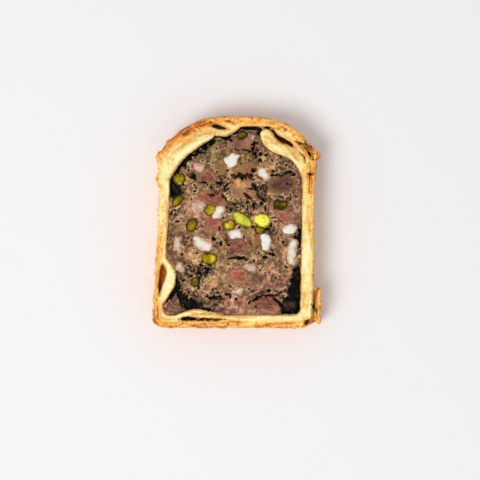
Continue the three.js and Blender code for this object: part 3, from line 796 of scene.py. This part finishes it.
# Torn pits in the filling, as patches, painted black as painted shade.
PITS = (
    (-22, 79, 3.2, 3, 70), (-24.3, 82, 1.2, 1.2, 0), (-17, 87, 1.6, 0.8, 45), (-14.3, 86.6, 1.8, 0.9, 10),
    (-11.9, 85.8, 1.1, 1, 0), (-12.1, 81.8, 2.1, 0.9, -55), (-9.6, 81.2, 0.9, 0.8, 0),
    (-4.1, 82.2, 2.5, 1, 60), (-1.8, 79.3, 1.7, 0.9, -50), (-3.4, 72.5, 1.7, 1.1, 50),
    (-8.5, 75.4, 3.8, 2.2, 0), (-7.6, 77, 1.3, 0.8, 70), (-9.6, 93.5, 1, 0.8, 0),
    (-2.4, 97.6, 2.5, 1.2, -45), (-21.3, 74.2, 1, 0.9, 0), (-21, 71.3, 1.9, 1.2, 45),
    (-20.4, 73, 0.9, 1.4, 0), (-21.8, 69.3, 1.1, 0.7, 0), (-22.7, 67.2, 0.9, 0.7, 0),
    (-27, 74.4, 1.7, 1, -20), (-12.4, 73.2, 1, 0.9, 0), (-4.5, 69.8, 1, 1, 0), (0.8, 92.6, 2.7, 1.1, -15),
    (13.2, 90.4, 2.3, 1.4, -50), (16.2, 90, 2.2, 1.4, 20), (13, 87.4, 2.4, 1.8, 80),
    (3.2, 85.2, 1.5, 0.9, -45), (9.8, 82, 3.1, 2.4, 10), (6.2, 80.2, 1.3, 0.8, 0), (7.8, 79.4, 1, 0.8, 0),
    (19, 79.6, 1.9, 1, 10), (21.6, 79.7, 1.2, 0.8, 0), (27, 81.3, 2.7, 1.4, 20),
    (30.2, 79.5, 2.5, 1.2, 20), (32, 76.2, 1.4, 1, 90), (26.6, 84.6, 1.9, 1.2, -30), (28, 84, 1, 0.9, 0),
    (27, 75, 1.3, 0.8, -30), (28.7, 69.5, 1.7, 0.8, 90), (32, 68.3, 2.1, 0.8, 0), (24.4, 68, 2.4, 1, -20),
    (10, 73.4, 5, 2.4, -50), (8, 72.4, 2.1, 1, 0), (13, 72.6, 2.5, 1, -60), (15.4, 69.2, 2.5, 1, -45),
    (14.6, 66.6, 3, 1.4, -50), (11.6, 70.2, 2.8, 1.3, -60), (19, 87.6, 1, 0.9, 0),
    (-33.2, 59.8, 2.7, 1.2, 75), (-31.8, 61.2, 2.2, 1, 0), (-29.4, 62.1, 0.9, 0.8, 0),
    (-30.2, 55.4, 2.5, 1, 0), (-11, 46.4, 2.6, 2, -30), (-7.4, 44.1, 2.7, 1.8, 70),
    (-3.6, 43.2, 2, 1.4, 0), (-22.9, 44.2, 0.9, 0.8, 0), (-24.8, 45, 1, 0.7, 0),
    (-28.8, 46.4, 1.6, 0.7, 90), (-27.9, 38.2, 1.7, 1.2, 30), (-19.8, 39.2, 0.9, 0.9, 0),
    (-4, 39.4, 1.3, 1, 90), (-2.2, 38.6, 1, 0.8, 0), (-6, 57.2, 1.3, 0.8, -35), (-8.2, 51.4, 2.3, 0.9, 85),
    (-4.4, 62.6, 1.7, 1.4, 0), (-2.2, 61.6, 2.3, 1.6, 80), (-20.2, 51.2, 1, 0.9, 0),
    (13.6, 64.8, 1.9, 1.6, 0), (9.6, 63.4, 4, 1.4, 88), (6.3, 62.4, 3, 0.8, 80), (4.3, 62.8, 1.4, 1, 60),
    (0.9, 62.8, 1.5, 1.4, 0), (19.6, 57.5, 2.4, 0.8, 0), (20.7, 55.4, 1.3, 0.9, -30),
    (16.8, 51.6, 3.6, 1.4, 5), (18.4, 53.6, 2.5, 1.4, 80), (9.2, 52.6, 2, 1.6, 30),
    (1.8, 52.2, 1.8, 1.2, 80), (4.4, 47.4, 1.7, 0.9, 90), (22.4, 46.2, 1.6, 0.9, 90),
    (24.8, 44.7, 1.5, 1, -40), (18, 38.8, 1.7, 1.2, 30), (19.6, 38.2, 2.2, 1.9, 0),
    (15.4, 36.8, 2.7, 1.6, 0), (20.2, 50.8, 1.1, 0.9, 0), (29.4, 47.3, 2.4, 1, 0),
    (-23.4, 32, 4.2, 0.9, -10), (-17.6, 32.6, 2.7, 1, -20), (-17, 34, 1.2, 0.9, 0),
    (-13.2, 32.4, 2.5, 0.9, -15), (-14.6, 29.8, 3, 2, 60), (-21.4, 29.8, 1.9, 0.8, 40),
    (-23.2, 29, 1.5, 0.7, 40), (-25.6, 28.2, 2.1, 1, -20), (-22.6, 26.8, 1.4, 0.9, 80),
    (-19, 25.2, 2.8, 1.2, 85), (-19, 21, 2.5, 1.2, 80), (-16.4, 20.3, 1, 0.8, 90),
    (-9.6, 18.6, 1.9, 1.2, -30), (-24.3, 18.4, 1.7, 1, 0), (-28, 19, 1, 1, 0), (-13, 18.2, 1.5, 0.8, 0),
    (-3.6, 17.4, 3.2, 1.3, 0), (-2.6, 16, 2, 0.9, 90), (-2.6, 21.6, 2.2, 0.8, -30),
    (-3.4, 33.1, 1.1, 0.8, 0), (-35.4, 14.4, 2.3, 1.2, 80), (-33.2, 18.8, 1.7, 1.2, 0),
    (5.4, 35.2, 1.7, 0.9, 0), (8.4, 33.8, 2.5, 0.9, -30), (12.9, 29.8, 1.1, 0.8, 0),
    (15.4, 28.6, 1, 0.8, 0), (21.2, 26.2, 1, 1, 0), (26.2, 31.6, 2.4, 1.3, -50), (30.6, 33, 2.7, 1.2, 70),
    (7, 20.5, 1.3, 0.9, 0), (17.4, 19.4, 2.8, 1.9, 0), (10.8, 10.6, 2.5, 0.8, -40),
    (0.4, 14.8, 1.3, 1.2, 0),
)
# Cracks in the filling: width, depth and line.
MEAT_CRACKS = (
    (0.9, 1.8, ((-19.6, 76.2), (-18.6, 75.5), (-16, 75.6), (-14.8, 74.9), (-14.2, 73.9))),
    (1, 1.8, ((-6.8, 73.3), (-5.2, 73.5), (-3.8, 74.8), (-2, 75.6))),
    (1, 1.6, ((-14.8, 69.9), (-13.4, 69.2), (-10.8, 68.9))),
    (1.3, 1.8, ((-7.4, 69.6), (-6.6, 68.6), (-5, 67.8), (-4.6, 66.4))),
    (0.8, 1.2, ((-11, 71.8), (-10.6, 70.2), (-9.4, 69.6), (-8.2, 70.6))),
    (0.9, 1.6, ((3.4, 93), (5, 92.5), (7, 91.8), (9, 92))),
    (1.8, 2.4, ((9, 91.8), (9.2, 94.5), (10, 96), (12.4, 96.9))),
    (2.8, 2.4, ((-1.6, 79), (3, 79), (6, 78.4), (9.4, 79.4))),
    (1.5, 2, ((17.8, 79.2), (22, 79.7), (25, 80), (27, 80.8), (28.6, 81.4), (31.4, 79.4))),
    (1.4, 1.6, ((4.2, 70.2), (6, 69), (7.4, 67.6), (9.4, 66.2))),
    (0.6, 1, ((7, 45.6), (8, 43.6), (9.4, 41.4))),
    (0.6, 1, ((21.6, 57.4), (24, 55.4), (26.2, 54))),
    (1.6, 2.4, ((-3.8, 35.6), (-1, 36.6), (0.6, 37), (3.4, 36.4), (6.4, 35.2))),
    (1.4, 2, ((-16.6, 16.4), (-14, 15.4), (-10.6, 15.6), (-7.2, 16.4))),
    (1.8, 2.4, ((6.4, 12), (8, 13.6), (10.6, 15.6), (13.6, 16.6), (17.4, 17.2), (20.6, 16.9), (24.4, 18.3))),
    (1.4, 2, ((19.2, 16.8), (20.8, 14.6), (22.6, 13.4), (23.6, 11.6), (25.4, 9.4))),
    (0.8, 1, ((15.4, 64), (15.8, 62), (15.2, 60.6))),
)
# Patches that are ragged hollows, darkened with painted shade, scraps of kernel and pale scraps.
HOLLOWS = (
    (-21, 29.6, 14, 7, 0), (-19.6, 25.6, 4, 5, 0), (-1.4, 63.4, 8.5, 6, 10), (4.6, 77.8, 6, 1.6, -4),
    (5, 64, 6, 4, 0), (12, 70.5, 9, 3, -52), (-8, 71, 7, 5, -30), (-24, 81, 4, 3, 0), (28, 83.4, 5, 3, 0),
    (-22, 17.6, 9, 3, -20),
)
GREEN_SCRAPS = (
    (14.2, 86.2, 2.2, 1.4, 30), (5.2, 88.8, 2.6, 2, 80), (19.6, 38.6, 3, 2.4, 0),
    (15.2, 36.6, 2.6, 1.8, 20), (24.6, 50.4, 2.6, 2.2, 0), (-19.6, 87.4, 2, 1.6, 0),
    (11.6, 48.6, 2.4, 1.4, -20), (-3.2, 46.6, 2, 1.2, 60),
)
PALE_SCRAPS = (
    (-14.2, 71.8, 2.4, 2, 0), (-23.6, 85.6, 3, 3, 0), (-19.5, 90, 1.4, 1, 0), (20.6, 69.8, 3.4, 1.2, -30),
    (11.6, 76.8, 2.4, 2, 0), (14.4, 75.5, 1.7, 1.1, 0), (18.6, 83.6, 3, 1.4, -20),
    (21.4, 86.5, 2, 1.6, 90), (-19, 64.6, 5, 3.4, 0), (-22.4, 62.2, 1.6, 1.4, 0), (-20, 57.8, 2, 1.2, 0),
    (-16, 54.4, 2.4, 0.8, -35), (-28.6, 58.4, 3, 1.6, -20), (-7, 50.4, 1.8, 0.8, 90),
    (31.4, 61.8, 5, 1.5, -50), (21.5, 53.4, 2.3, 1.6, 80), (24.2, 50.6, 2.4, 2, 0),
    (18.4, 61, 1.7, 1.4, 0), (-6, 26.8, 3, 1.6, 40), (-4, 25.2, 2.4, 0.9, -45), (-26.2, 23.6, 1.3, 0.9, 0),
    (-2, 10.6, 6, 1.3, 5), (25.6, 17, 2.4, 2.2, 0), (27.8, 28.4, 1.8, 1.4, 0), (22, 28.4, 1.5, 1, 0),
    (12.8, 32, 2.5, 1.4, 80), (4, 24.4, 2, 1, 0), (11, 18, 4, 1.4, 20), (0.4, 16.2, 1.7, 1.2, 0),
    (21.6, 57.6, 9, 0.8, -38), (13.2, 71, 3.2, 1.1, -60), (8.2, 97, 6, 2.2, 65), (-16.8, 29, 2.4, 1.8, 70),
)
# Patches where the meat laps over the jelly, and how far it keeps from the crust there.
RISEN = ((5.6, 102.4, 16, 8, 0), (-13, 13, 8, 9, 20), (-21.6, 16.4, 14, 3.4, -24))
RISEN_GAP = 1.3
# Dice nearer than this to a cut face show in it.
DICE_DEPTH = 4.0


def two_way(points, octaves, seed):
    """Two fields of noise side by side, to shift points of the plane by."""
    return np.column_stack([layered(points, octaves, seed + step) for step in (0, 9)])


def shaken_plan(points, seed):
    """Points of the plane, shaken so that what is drawn by them has ragged edges."""
    return points[:, :2] + 0.6 * two_way(points / 0.9, 2, seed + SHAKE_SEED)


def meat_face(points, covered, beside_dice, pit, near_crust, near_jelly, seed):
    """One cut face of the forcemeat: its lift from the flat face and its paint."""
    bend = two_way(points / 2.4, 2, seed)
    stirred = points[:, :2] + 1.6 * two_way(points / 6.0, 2, seed + 20) + 0.5 * bend
    shaken = shaken_plan(points, seed)
    at = np.column_stack((stirred, points[:, 2]))
    broad = layered(at / 5.0, 2, seed + 60)
    mottle = layered(at / 1.8, 2, seed + 62)
    hue = layered(at / 2.6, 3, seed + 64)
    fleck = layered(at / 1.4, 3, seed + 67)
    fine = layered(points / 0.8, 2, seed + 70)
    ragged = layered(points / 1.3, 3, seed + 72)
    loose = rise(0.15, 0.7, zones(stirred, LOOSE) + 0.3 * broad)
    chunk = cell_numbers(stirred / 4.2 + 0.25 * bend, seed + 75)

    hues = (-0.7, MEAT_MAUVE), (-0.2, MEAT_OLIVE), (0.15, MEAT), (0.5, MEAT_TAN), (0.8, MEAT_PINK)
    paint = shaded(1.2 * hue + 0.3 * broad + (chunk - 0.5), *hues)
    rim = fall(0.4, 3.0, near_crust) * rise(-0.5, 0.2, noise(points / 9, seed + 90))
    paint = blend(paint, MEAT_MAUVE, 0.6 * rim)
    for colour, places in TONES:
        paint = blend(paint, colour, 0.75 * zones(stirred + 2.0 * bend, places))
    grain = cell_numbers(shaken, seed + 79)
    tone = 0.45 * mottle + 0.4 * fine + 0.2 * broad + 0.4 * (chunk - 0.5) + 0.8 * (grain - 0.5)
    paint = paint * np.exp((1 + 0.4 * loose) * tone)[:, None]
    paint = blend(paint, MEAT_PALE, (0.35 + 0.45 * loose) * rise(0.36, 0.48, fleck))
    paint = blend(paint, MEAT_DARK, 0.75 * rise(0.3, 0.45, -fleck))

    hollow = patches(shaken + 1.2 * bend, HOLLOWS)
    hole = patches(shaken, PITS)
    brinks = [(x, y, length + BRINK, width + BRINK, turn) for x, y, length, width, turn in PITS]
    brink = patches(shaken, brinks)
    sunk, crack, beside = torn(points, MEAT_CRACKS, seed + CRACK_SEED)
    limit = 0.53 - 0.27 * loose
    speck = rise(limit, limit + 0.1, layered(points / 1.2, 3, seed + 101))
    fissure = np.abs(layered(np.column_stack((stirred / 1.3, points[:, 2])), 2, seed + 105))
    network = loose * fall(0.03, 0.1, fissure) * rise(-0.1, 0.25, ragged + 0.3 * loose)
    inside = rise(0.2, 1.0, pit)
    torn_in = inside * rise(0.0, 0.3, ragged)
    by_jelly = near_jelly * rise(-0.3, 0.3, ragged + 0.5 * mottle)
    clot = near_jelly * rise(0.25, 0.4, ragged)
    # Painted shade: black in the pits, cracks, fissures, specks and torn meat beside the dice; black clots
    # of jelly at the jelly's edge.
    black = most(hole, crack, 0.9 * network, 0.9 * speck, torn_in, clot)
    depth = most(sunk, 1.5 * hole, 0.7 * network, 0.9 * speck, 0.5 * hollow, 0.7 * pit)
    lift = 0.3 * broad + 0.3 * mottle + 0.1 * fine + 0.25 * (chunk - 0.5)
    lift = (1 - covered) * ((1 - 0.6 * beside_dice) * lift - depth) - 1.2 * covered

    pale = patches(shaken + 0.6 * bend, PALE_SCRAPS)
    paint = blend(paint, SCRAP_PALE, 0.65 * pale * (0.8 + 0.5 * mottle))
    paint = blend(paint, SCRAP_GREEN, 0.7 * patches(shaken + 0.4 * bend, GREEN_SCRAPS) * (0.9 + mottle))
    # Painted shade in the hollows and in the pits beside the dice; darker meat beside the jelly.
    paint = blend(paint, MEAT_DARK, most(0.8 * hollow, 0.85 * inside, 0.7 * by_jelly))
    paint = blend(paint, MEAT_PALE, 0.65 * hollow * rise(0.35, 0.5, fleck))
    # Pale brinks of the cracks and pits: partly pale crumbs, partly a painted highlight on their torn edges.
    paint = blend(paint, MEAT_PALE, 0.6 * np.maximum(beside, brink) * rise(-0.4, 0.3, ragged))
    return lift, blend(paint, SHADE_AND_JELLY_BLACK, black)


def corner_numbers(number, cells):
    """The numbers of the four corners of each grid cell that is used, anticlockwise."""
    corners = number[:-1, :-1], number[:-1, 1:], number[1:, 1:], number[1:, :-1]
    return np.column_stack([corner[cells] for corner in corners])


def rim_of(faces):
    """The edges that belong to only one face."""
    edges = np.concatenate([faces[:, [k, (k + 1) % 4]] for k in range(4)])
    _, first, times = np.unique(np.sort(edges), axis=0, return_index=True, return_counts=True)
    return edges[first[times == 1]]


def smooth_rim(layers, rim):
    """Takes the steps out of the grid's edge by drawing each edge point to its neighbours."""
    for _ in range(3):
        for layer in layers:
            total = np.zeros_like(layer)
            times = np.zeros(len(layer))
            for a, b in ((0, 1), (1, 0)):
                np.add.at(total, rim[:, a], layer[rim[:, b]])
                np.add.at(times, rim[:, a], 1)
            edge = np.flatnonzero(times)
            middle = total[edge] / times[edge, None]
            layer[edge, :2] += 0.5 * (middle - layer[edge])[:, :2]


def meat_area(solid, jelly_seen):
    """Where the grid is meat, with a ragged edge along the jelly, and how near the jelly is."""
    places = np.column_stack((grid_x.ravel(), grid_y.ravel(), np.zeros(grid_x.size)))
    from_crust = within(np.isnan(looked_at(tree_of("crust"))), 2.5)
    risen = (patches(places, RISEN).reshape(grid_x.shape) > 0.5) & (from_crust > RISEN_GAP)
    solid = solid | risen
    beside_jelly = fall(1.0, 3.0, within(~jelly_seen | risen, 3.5)) * np.where(risen, 0.3, 1)
    ragged = layered(places / 1.9, 3, 900).reshape(grid_x.shape)
    inside = within(solid, 2.5) - within(~solid, 2.5) + GRID + 1.6 * beside_jelly * ragged > 0
    return inside, beside_jelly


def forcemeat(dice, jelly_seen):
    """The forcemeat as two torn cut faces with walls between them, hollowed a little under the dice."""
    meat = tree_of("forcemeat")
    diced = tree_of(*dice)
    inside, beside_jelly = meat_area(~np.isnan(looked_at(meat)), jelly_seen)
    cells = inside[:-1, :-1] & inside[1:, :-1] & inside[:-1, 1:] & inside[1:, 1:]
    wide = np.pad(cells, 1)
    used = wide[:-1, :-1] | wide[1:, :-1] | wide[:-1, 1:] | wide[1:, 1:]
    count = int(used.sum())
    number = np.full(grid_x.shape, -1)
    number[used] = np.arange(count)
    plan = np.column_stack((grid_x[used], grid_y[used], np.zeros(count)))
    near_crust = blurred(within(inside, 4.0), 2)[used]

    layers = []
    paints = []
    for above, face, up, seed in ((True, THICKNESS, 1, UPPER_SEED), (False, 0.0, -1, LOWER_SEED)):
        shows = np.abs(looked_at(diced, above) - face) < DICE_DEPTH
        covered = rise(0.6, 1.7, within(shows, 2.2))[used]
        away = within(~shows, 1.6)
        sunk = up * (face - looked_at(meat, above)) - 0.35
        pit = np.where(np.isnan(sunk) | (away < 0.8), 0, np.maximum(0, sunk))[used]
        beside_dice = fall(0.5, 1.5, away)[used]
        turned = plan * np.array((up, 1, 1))
        lift, paint = meat_face(turned, covered, beside_dice, pit, near_crust, beside_jelly[used], seed)
        if not above:
            lift = np.minimum(0, 0.5 * lift)
        layers.append(moved_up(plan, face + up * lift))
        paints.append(paint)

    top = corner_numbers(number, cells)
    rim = rim_of(top)
    smooth_rim(layers, rim)
    walls = np.column_stack((rim[:, 1], rim[:, 0], rim[:, 0] + count, rim[:, 1] + count))
    faces = np.concatenate((top, top[:, ::-1] + count, walls))
    mesh = mesh_of("forcemeat_torn", np.concatenate(layers), faces)
    piece_of("forcemeat_torn", mesh, np.concatenate(paints), forcemeat_material(), "forcemeat", "forcemeat")


# Dice, kernels and jelly

LUMP_VOXEL = 0.3
JELLY_VOXEL = 0.45
JELLY_SMOOTHING = 4
# The hue of each dice of lean, from purple through red to tan.
LEAN_TINTS = (0.02, 0.3, 0.72, 0.66, 0.5, 0.56, 0.36, 0.74, 0.56, 0.38, 0.55, 0.98, 0.0, 0.4)
LEAN_HUES = (0.0, LEAN_PURPLE), (0.3, LEAN_MAUVE), (0.55, LEAN_RED), (0.8, LEAN_TAUPE), (1.0, LEAN_TAN)
# The dice with a pale rim of sinew.
SINEWY = ("lean_02", "lean_09", "lean_10")
# The dice that lies in the dark jelly.
IN_JELLY = "lean_13"
# The dice with a pale streak, and the streak as a patch.
STREAKED = "lean_12"
STREAK = ((3.4, 74.4, 8.4, 4.2, -48),)
# How much of the meat's own colour is in the palest dice of lean.
MEATY = {"lean_03": 0.5, "lean_04": 0.3, "lean_14": 0.6}
# How much lighter or darker some dice of lean are.
LIGHTNESS = {
    "lean_02": 0.92, "lean_06": 1.12, "lean_08": 0.9, "lean_09": 1.12, "lean_11": 1.3, "lean_14": 0.9,
}
# How clean and white each dice of fat is.
FAT_PURITIES = (1.15, 0.9, 0.85, 1.05, 1.15, 0.92, 0.45, 0.75, 1.1, 0.72, 0.05, 0.75, 0.1, 0.2)
# How ripe each kernel is, from dark olive to bright yellow.
KERNEL_TINTS = (0.02, 0.5, 0.3, 0.54, 0.18, 0.52, 1.0, 1.05, 0.26, 0.48, 0.18, -0.03, 0.4, 0.5, 0.36, 0.46)
GREENEST = "pistachio_07"
PROUD = 1.0  # kernels that stand higher than this are raised
RIM_DIRECTIONS = 36
SCRAP_COUNT = 70
SCRAP_SEED = 73
# How far the scraps reach over the jelly, how far they lie below the cut face, and their half sizes.
SCRAP_REACH = 1.6
SCRAP_DROP = (0.6, 1.6)
SCRAP_SIZE = (0.2, 0.8)
SCRAP_SHAPE = np.array((1.2, 0.8, 0.6))


def from_rim(plan):
    """How far each point lies inside its lump's outline, in millimetres."""
    angle = np.linspace(0, 2 * math.pi, RIM_DIRECTIONS, endpoint=False)
    reach = plan @ np.vstack((np.cos(angle), np.sin(angle)))
    return (reach.max(0) - reach).min(1)


def along_axis(plan):
    """Each point's place across and along its lump."""
    flat = plan - plan.mean(0)
    _, axes = np.linalg.eigh(flat.T @ flat)
    return (flat @ axes).T


def lump(node, seed, out, up, bumps, smoothing):
    """A fine lump, grown sideways into the meat round it, lifted or sunk, and uneven."""
    mesh, points, normals = fine_copy(node, LUMP_VOXEL, smoothing)
    side = 1 - normals[:, 2] ** 2
    uneven = layered(points / 2.6, 3, seed) * (0.25 + side)
    points = lifted(points, normals, out * side + up * (1 - side) + bumps * uneven)
    move_points(mesh, points)
    return mesh, points


def sunk_rim(mesh, points, width, drop, ragged):
    """Lets a cut top dip towards its outline, so that the meat laps over it unevenly."""
    rim = from_rim(points[:, :2])
    dip = np.where(points[:, 2] > CUT_TOP, -drop * fall(0.0, width, rim) + ragged, 0)
    move_points(mesh, moved_up(points, dip))
    return rim


def cut_through(points):
    """How deep the filling's cracks and pits go into a piece's cut top, and a mask of them, where black is
    painted as shade.
    """
    top = points[:, 2] > CUT_TOP
    flat = points * np.array((1, 1, 0))
    sunk, crack, _ = torn(flat, MEAT_CRACKS, UPPER_SEED + CRACK_SEED)
    near = [pit for pit in PITS if np.hypot(*(flat[:, :2] - pit[:2]).T).min() < pit[2]]
    hole = patches(shaken_plan(flat, UPPER_SEED), near)
    return top * np.maximum(sunk, 1.2 * hole), top * np.maximum(crack, hole)


def lean(node, k):
    """A dice of lean meat and its paint."""
    mesh, points = lump(node, 300 + k, out=1.8, up=0.05, bumps=0.6, smoothing=8)
    across, onward = along_axis(points[:, :2])
    fibre = noise(np.column_stack((across / 0.55, onward / 3.5, points[:, 2] / 2)), 330 + k)
    patch = layered(points / 3.0, 3, 350 + k)
    ragged = layered(points / 1.6, 3, 360 + k)
    speck = rise(0.55, 0.7, layered(points / 1.3, 3, 370 + k))
    fine = layered(points / 0.8, 2, 380 + k)
    grain = cell_numbers(points[:, :2] + 0.5 * fine[:, None], 390 + k)
    sunk, black = cut_through(points)
    rim = sunk_rim(mesh, points, 2.2, 0.6, 0.1 * fibre + 0.25 * ragged - sunk)
    edge = fall(0.6, 3.4, rim + 1.8 * ragged)

    paint = shaded(LEAN_TINTS[k] + 0.1 * fibre + 0.3 * patch, *LEAN_HUES)
    tone = 0.25 * fibre + 0.35 * ragged + 0.2 * fine + 0.4 * (grain - 0.5)
    paint = paint * LIGHTNESS.get(node, 1.0) * np.exp(tone)[:, None]
    if node in MEATY:
        paint = blend(paint, MEAT, np.full(len(points), MEATY[node]))
        for colour, places in TONES:
            paint = blend(paint, colour, 0.8 * zones(points, places))
    if node == STREAKED:
        streak = patches(points[:, :2] + 0.5 * ragged[:, None], STREAK)
        paint = blend(paint, (MEAT_PINK + LEAN_TAUPE) / 2, 0.85 * (1 - streak))
    if node == IN_JELLY:
        paint = blend(paint, JELLY_BROWN, 0.9 * edge + 0.5)
        paint = blend(paint, JELLY, fall(1.0, 3.2, rim + 1.2 * ragged))
    else:
        paint = blend(paint, MEAT, 0.8 * edge)
    if node in SINEWY:
        paint = blend(paint, SINEW, 0.6 * bell((rim - 2.2) / 0.4) * rise(-0.2, 0.1, ragged))
    # Painted shade: black in the specks and in the cracks and pits that run into the dice.
    return mesh, blend(paint, SHADE_AND_JELLY_BLACK, np.maximum(0.9 * speck, black))


def fat(node, k):
    """A dice of fat and its paint."""
    mesh, points = lump(node, 420 + k, out=1.25, up=0.15, bumps=0.75, smoothing=24)
    patchy = layered(points / 1.8, 3, 430 + k)
    rim = sunk_rim(mesh, points, 2.2, 0.8, 0.18 * patchy)
    core = rise(0.6, 2.7, rim + patchy - 1.6 * (1 - FAT_PURITIES[k]))
    paint = blend(MEAT_TAN, FAT_PINK, 0.6 + patchy)
    return mesh, blend(paint, FAT_WHITE, min(1.0, 0.3 + 0.7 * FAT_PURITIES[k]) * core)


def pistachio(node, k):
    """A kernel and its paint."""
    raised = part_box(node)[1][2] > (THICKNESS + PROUD) * MM
    if raised:
        out = 0.6 if node == GREENEST else 1.1
        mesh, points = lump(node, 500 + k, out=out, up=0.1, bumps=0.35, smoothing=18)
    else:
        mesh, points = lump(node, 500 + k, out=0.65, up=0.1, bumps=0.9, smoothing=9)
    rim = from_rim(points[:, :2])
    patchy = layered(points / 1.5, 3, 530 + k)
    across, _ = along_axis(points[:, :2])
    crease = bell((across + 0.4 * patchy - 0.3) / 0.3) * raised * (points[:, 2] > THICKNESS)
    move_points(mesh, moved_up(points, -0.35 * crease))
    pale = rise(0.1, 0.6, rim / rim.max() + 0.25 * patchy)
    ripe = KERNEL_TINTS[k] - 0.2 + 0.35 * pale + 0.55 * layered(points / 2.4, 3, 560 + k)
    # Raised kernels darker towards their rim: partly the skin, partly painted shade.
    ripe -= 0.5 * raised * fall(0.3, 1.8, rim + 0.6 * patchy)
    paint = shaded(ripe, (0.0, KERNEL_SKIN), (0.4, KERNEL_OLIVE), (0.7, KERNEL), (1.05, KERNEL_BRIGHT))
    if node == GREENEST:
        paint = blend(paint, KERNEL_GREEN, 0.6 - 0.5 * crease)
    return mesh, blend(paint, KERNEL_SKIN, 0.85 * fall(0.3, 0.9, rim + 0.5 * patchy))


def jelly(node, k):
    """A pocket of jelly, sunk at the top, and its paint."""
    mesh, points, normals = fine_copy(node, JELLY_VOXEL, JELLY_SMOOTHING)
    sag = np.clip(normals[:, 2], 0, 1) ** 2 * (0.7 * layered(points / 3, 3, 600 + k) - 0.9)
    move_points(mesh, lifted(points, normals, 1 - np.abs(normals[:, 2]) + sag))
    speck = rise(0.2, 0.6, layered(points / 1.8, 3, 630 + k))
    return mesh, blend(JELLY, JELLY_BROWN, 0.8 * speck)


def pieces(stem, ending, material, make):
    """Makes a piece of each node with this stem, by a function that gives its mesh and paint."""
    for k, node in enumerate(nodes_named(stem)):
        mesh, paint = make(node, k)
        piece_of(node + ending, mesh, paint, material, stem, node)


def scraps(jelly_seen):
    """Scraps of meat that cling to the edge of the filling and lie on the jelly."""
    draw = np.random.default_rng(SCRAP_SEED)
    rows, columns = np.nonzero(jelly_seen & (within(jelly_seen, 2.5) < SCRAP_REACH))
    chosen = draw.choice(len(rows), SCRAP_COUNT)
    plan = np.column_stack((grid_x[rows, columns], grid_y[rows, columns]))[chosen]
    height = draw.uniform(THICKNESS - SCRAP_DROP[1], THICKNESS - SCRAP_DROP[0], SCRAP_COUNT)
    spots = np.column_stack((plan, height))
    sizes = draw.uniform(*SCRAP_SIZE, (SCRAP_COUNT, 3)) * SCRAP_SHAPE
    along = draw.normal(0, 1, (SCRAP_COUNT, 3))
    out = np.array((0, 0, 1)) + draw.normal(0, 0.4, (SCRAP_COUNT, 3))
    shade = draw.random(SCRAP_COUNT)
    paint = shaded(shade, (0.0, JELLY), (0.5, JELLY_BROWN), (0.8, MEAT_DARK), (1.0, MEAT))
    axes = upright_axes(along, out)
    bits("meat_scraps", spots, sizes, axes, 74, paint, forcemeat_material(), "forcemeat")


# Floor, light and camera

FLOOR_SIZE = 4.0
FLOOR_DROP = 0.02
KEY_FROM = Vector((-0.50, -0.42, 0.92))
KEY_DISTANCE = 2.4
KEY_SIZE = 1.3
KEY_POWER = 32.5
SKY = 0.63
SKY_COLOUR = (0.98, 0.99, 1.0, 1.0)


def floor():
    mesh = bpy.data.meshes.new("floor")
    half = FLOOR_SIZE / 2
    corners = [(-half, -half, 0), (half, -half, 0), (half, half, 0), (-half, half, 0)]
    mesh.from_pydata(corners, [], [(0, 1, 2, 3)])
    made = Material("pale_floor", Base_Color=(*FLOOR, 1.0), Roughness=0.9, Specular_IOR_Level=0.1)
    mesh.materials.append(made.material)
    ground = placed("floor", mesh)
    ground.location.z = -FLOOR_DROP * MM


def light():
    lamp = bpy.data.lights.new("window", "AREA")
    lamp.shape = "DISK"
    lamp.size = KEY_SIZE
    lamp.energy = KEY_POWER
    key = placed("window", lamp)
    key.location = KEY_FROM.normalized() * KEY_DISTANCE
    key.rotation_euler = KEY_FROM.to_track_quat("Z", "Y").to_euler()
    world = bpy.data.worlds.new("studio")
    world.use_nodes = True
    sky = world.node_tree.nodes["Background"]
    sky.inputs["Color"].default_value = SKY_COLOUR
    sky.inputs["Strength"].default_value = SKY
    bpy.context.scene.world = world
    bpy.context.scene.view_settings.view_transform = "Standard"


def camera():
    lens = bpy.data.cameras.new("camera")
    lens.lens = LENS
    lens.sensor_width = SENSOR
    lens.clip_start = 0.01
    view = placed("camera", lens)
    height = PICTURE_WIDTH * LENS / SENSOR + THICKNESS
    view.location = Vector((np.array((*PICTURE_MIDDLE, height)) + FOOT_MIDDLE) * MM)
    bpy.context.scene.camera = view


camera()
light()
floor()
crust()
jelly_seen = ~np.isnan(looked_at(tree_of(*nodes_named("jelly"))))
forcemeat(nodes_named("pistachio") + nodes_named("fat") + nodes_named("lean"), jelly_seen)
scraps(jelly_seen)
pieces("lean", "_dice", lean_material(), lean)
pieces("fat", "_dice", fat_material(), fat)
pieces("pistachio", "_kernel", pistachio_material(), pistachio)
pieces("jelly", "_set", jelly_material(), jelly)
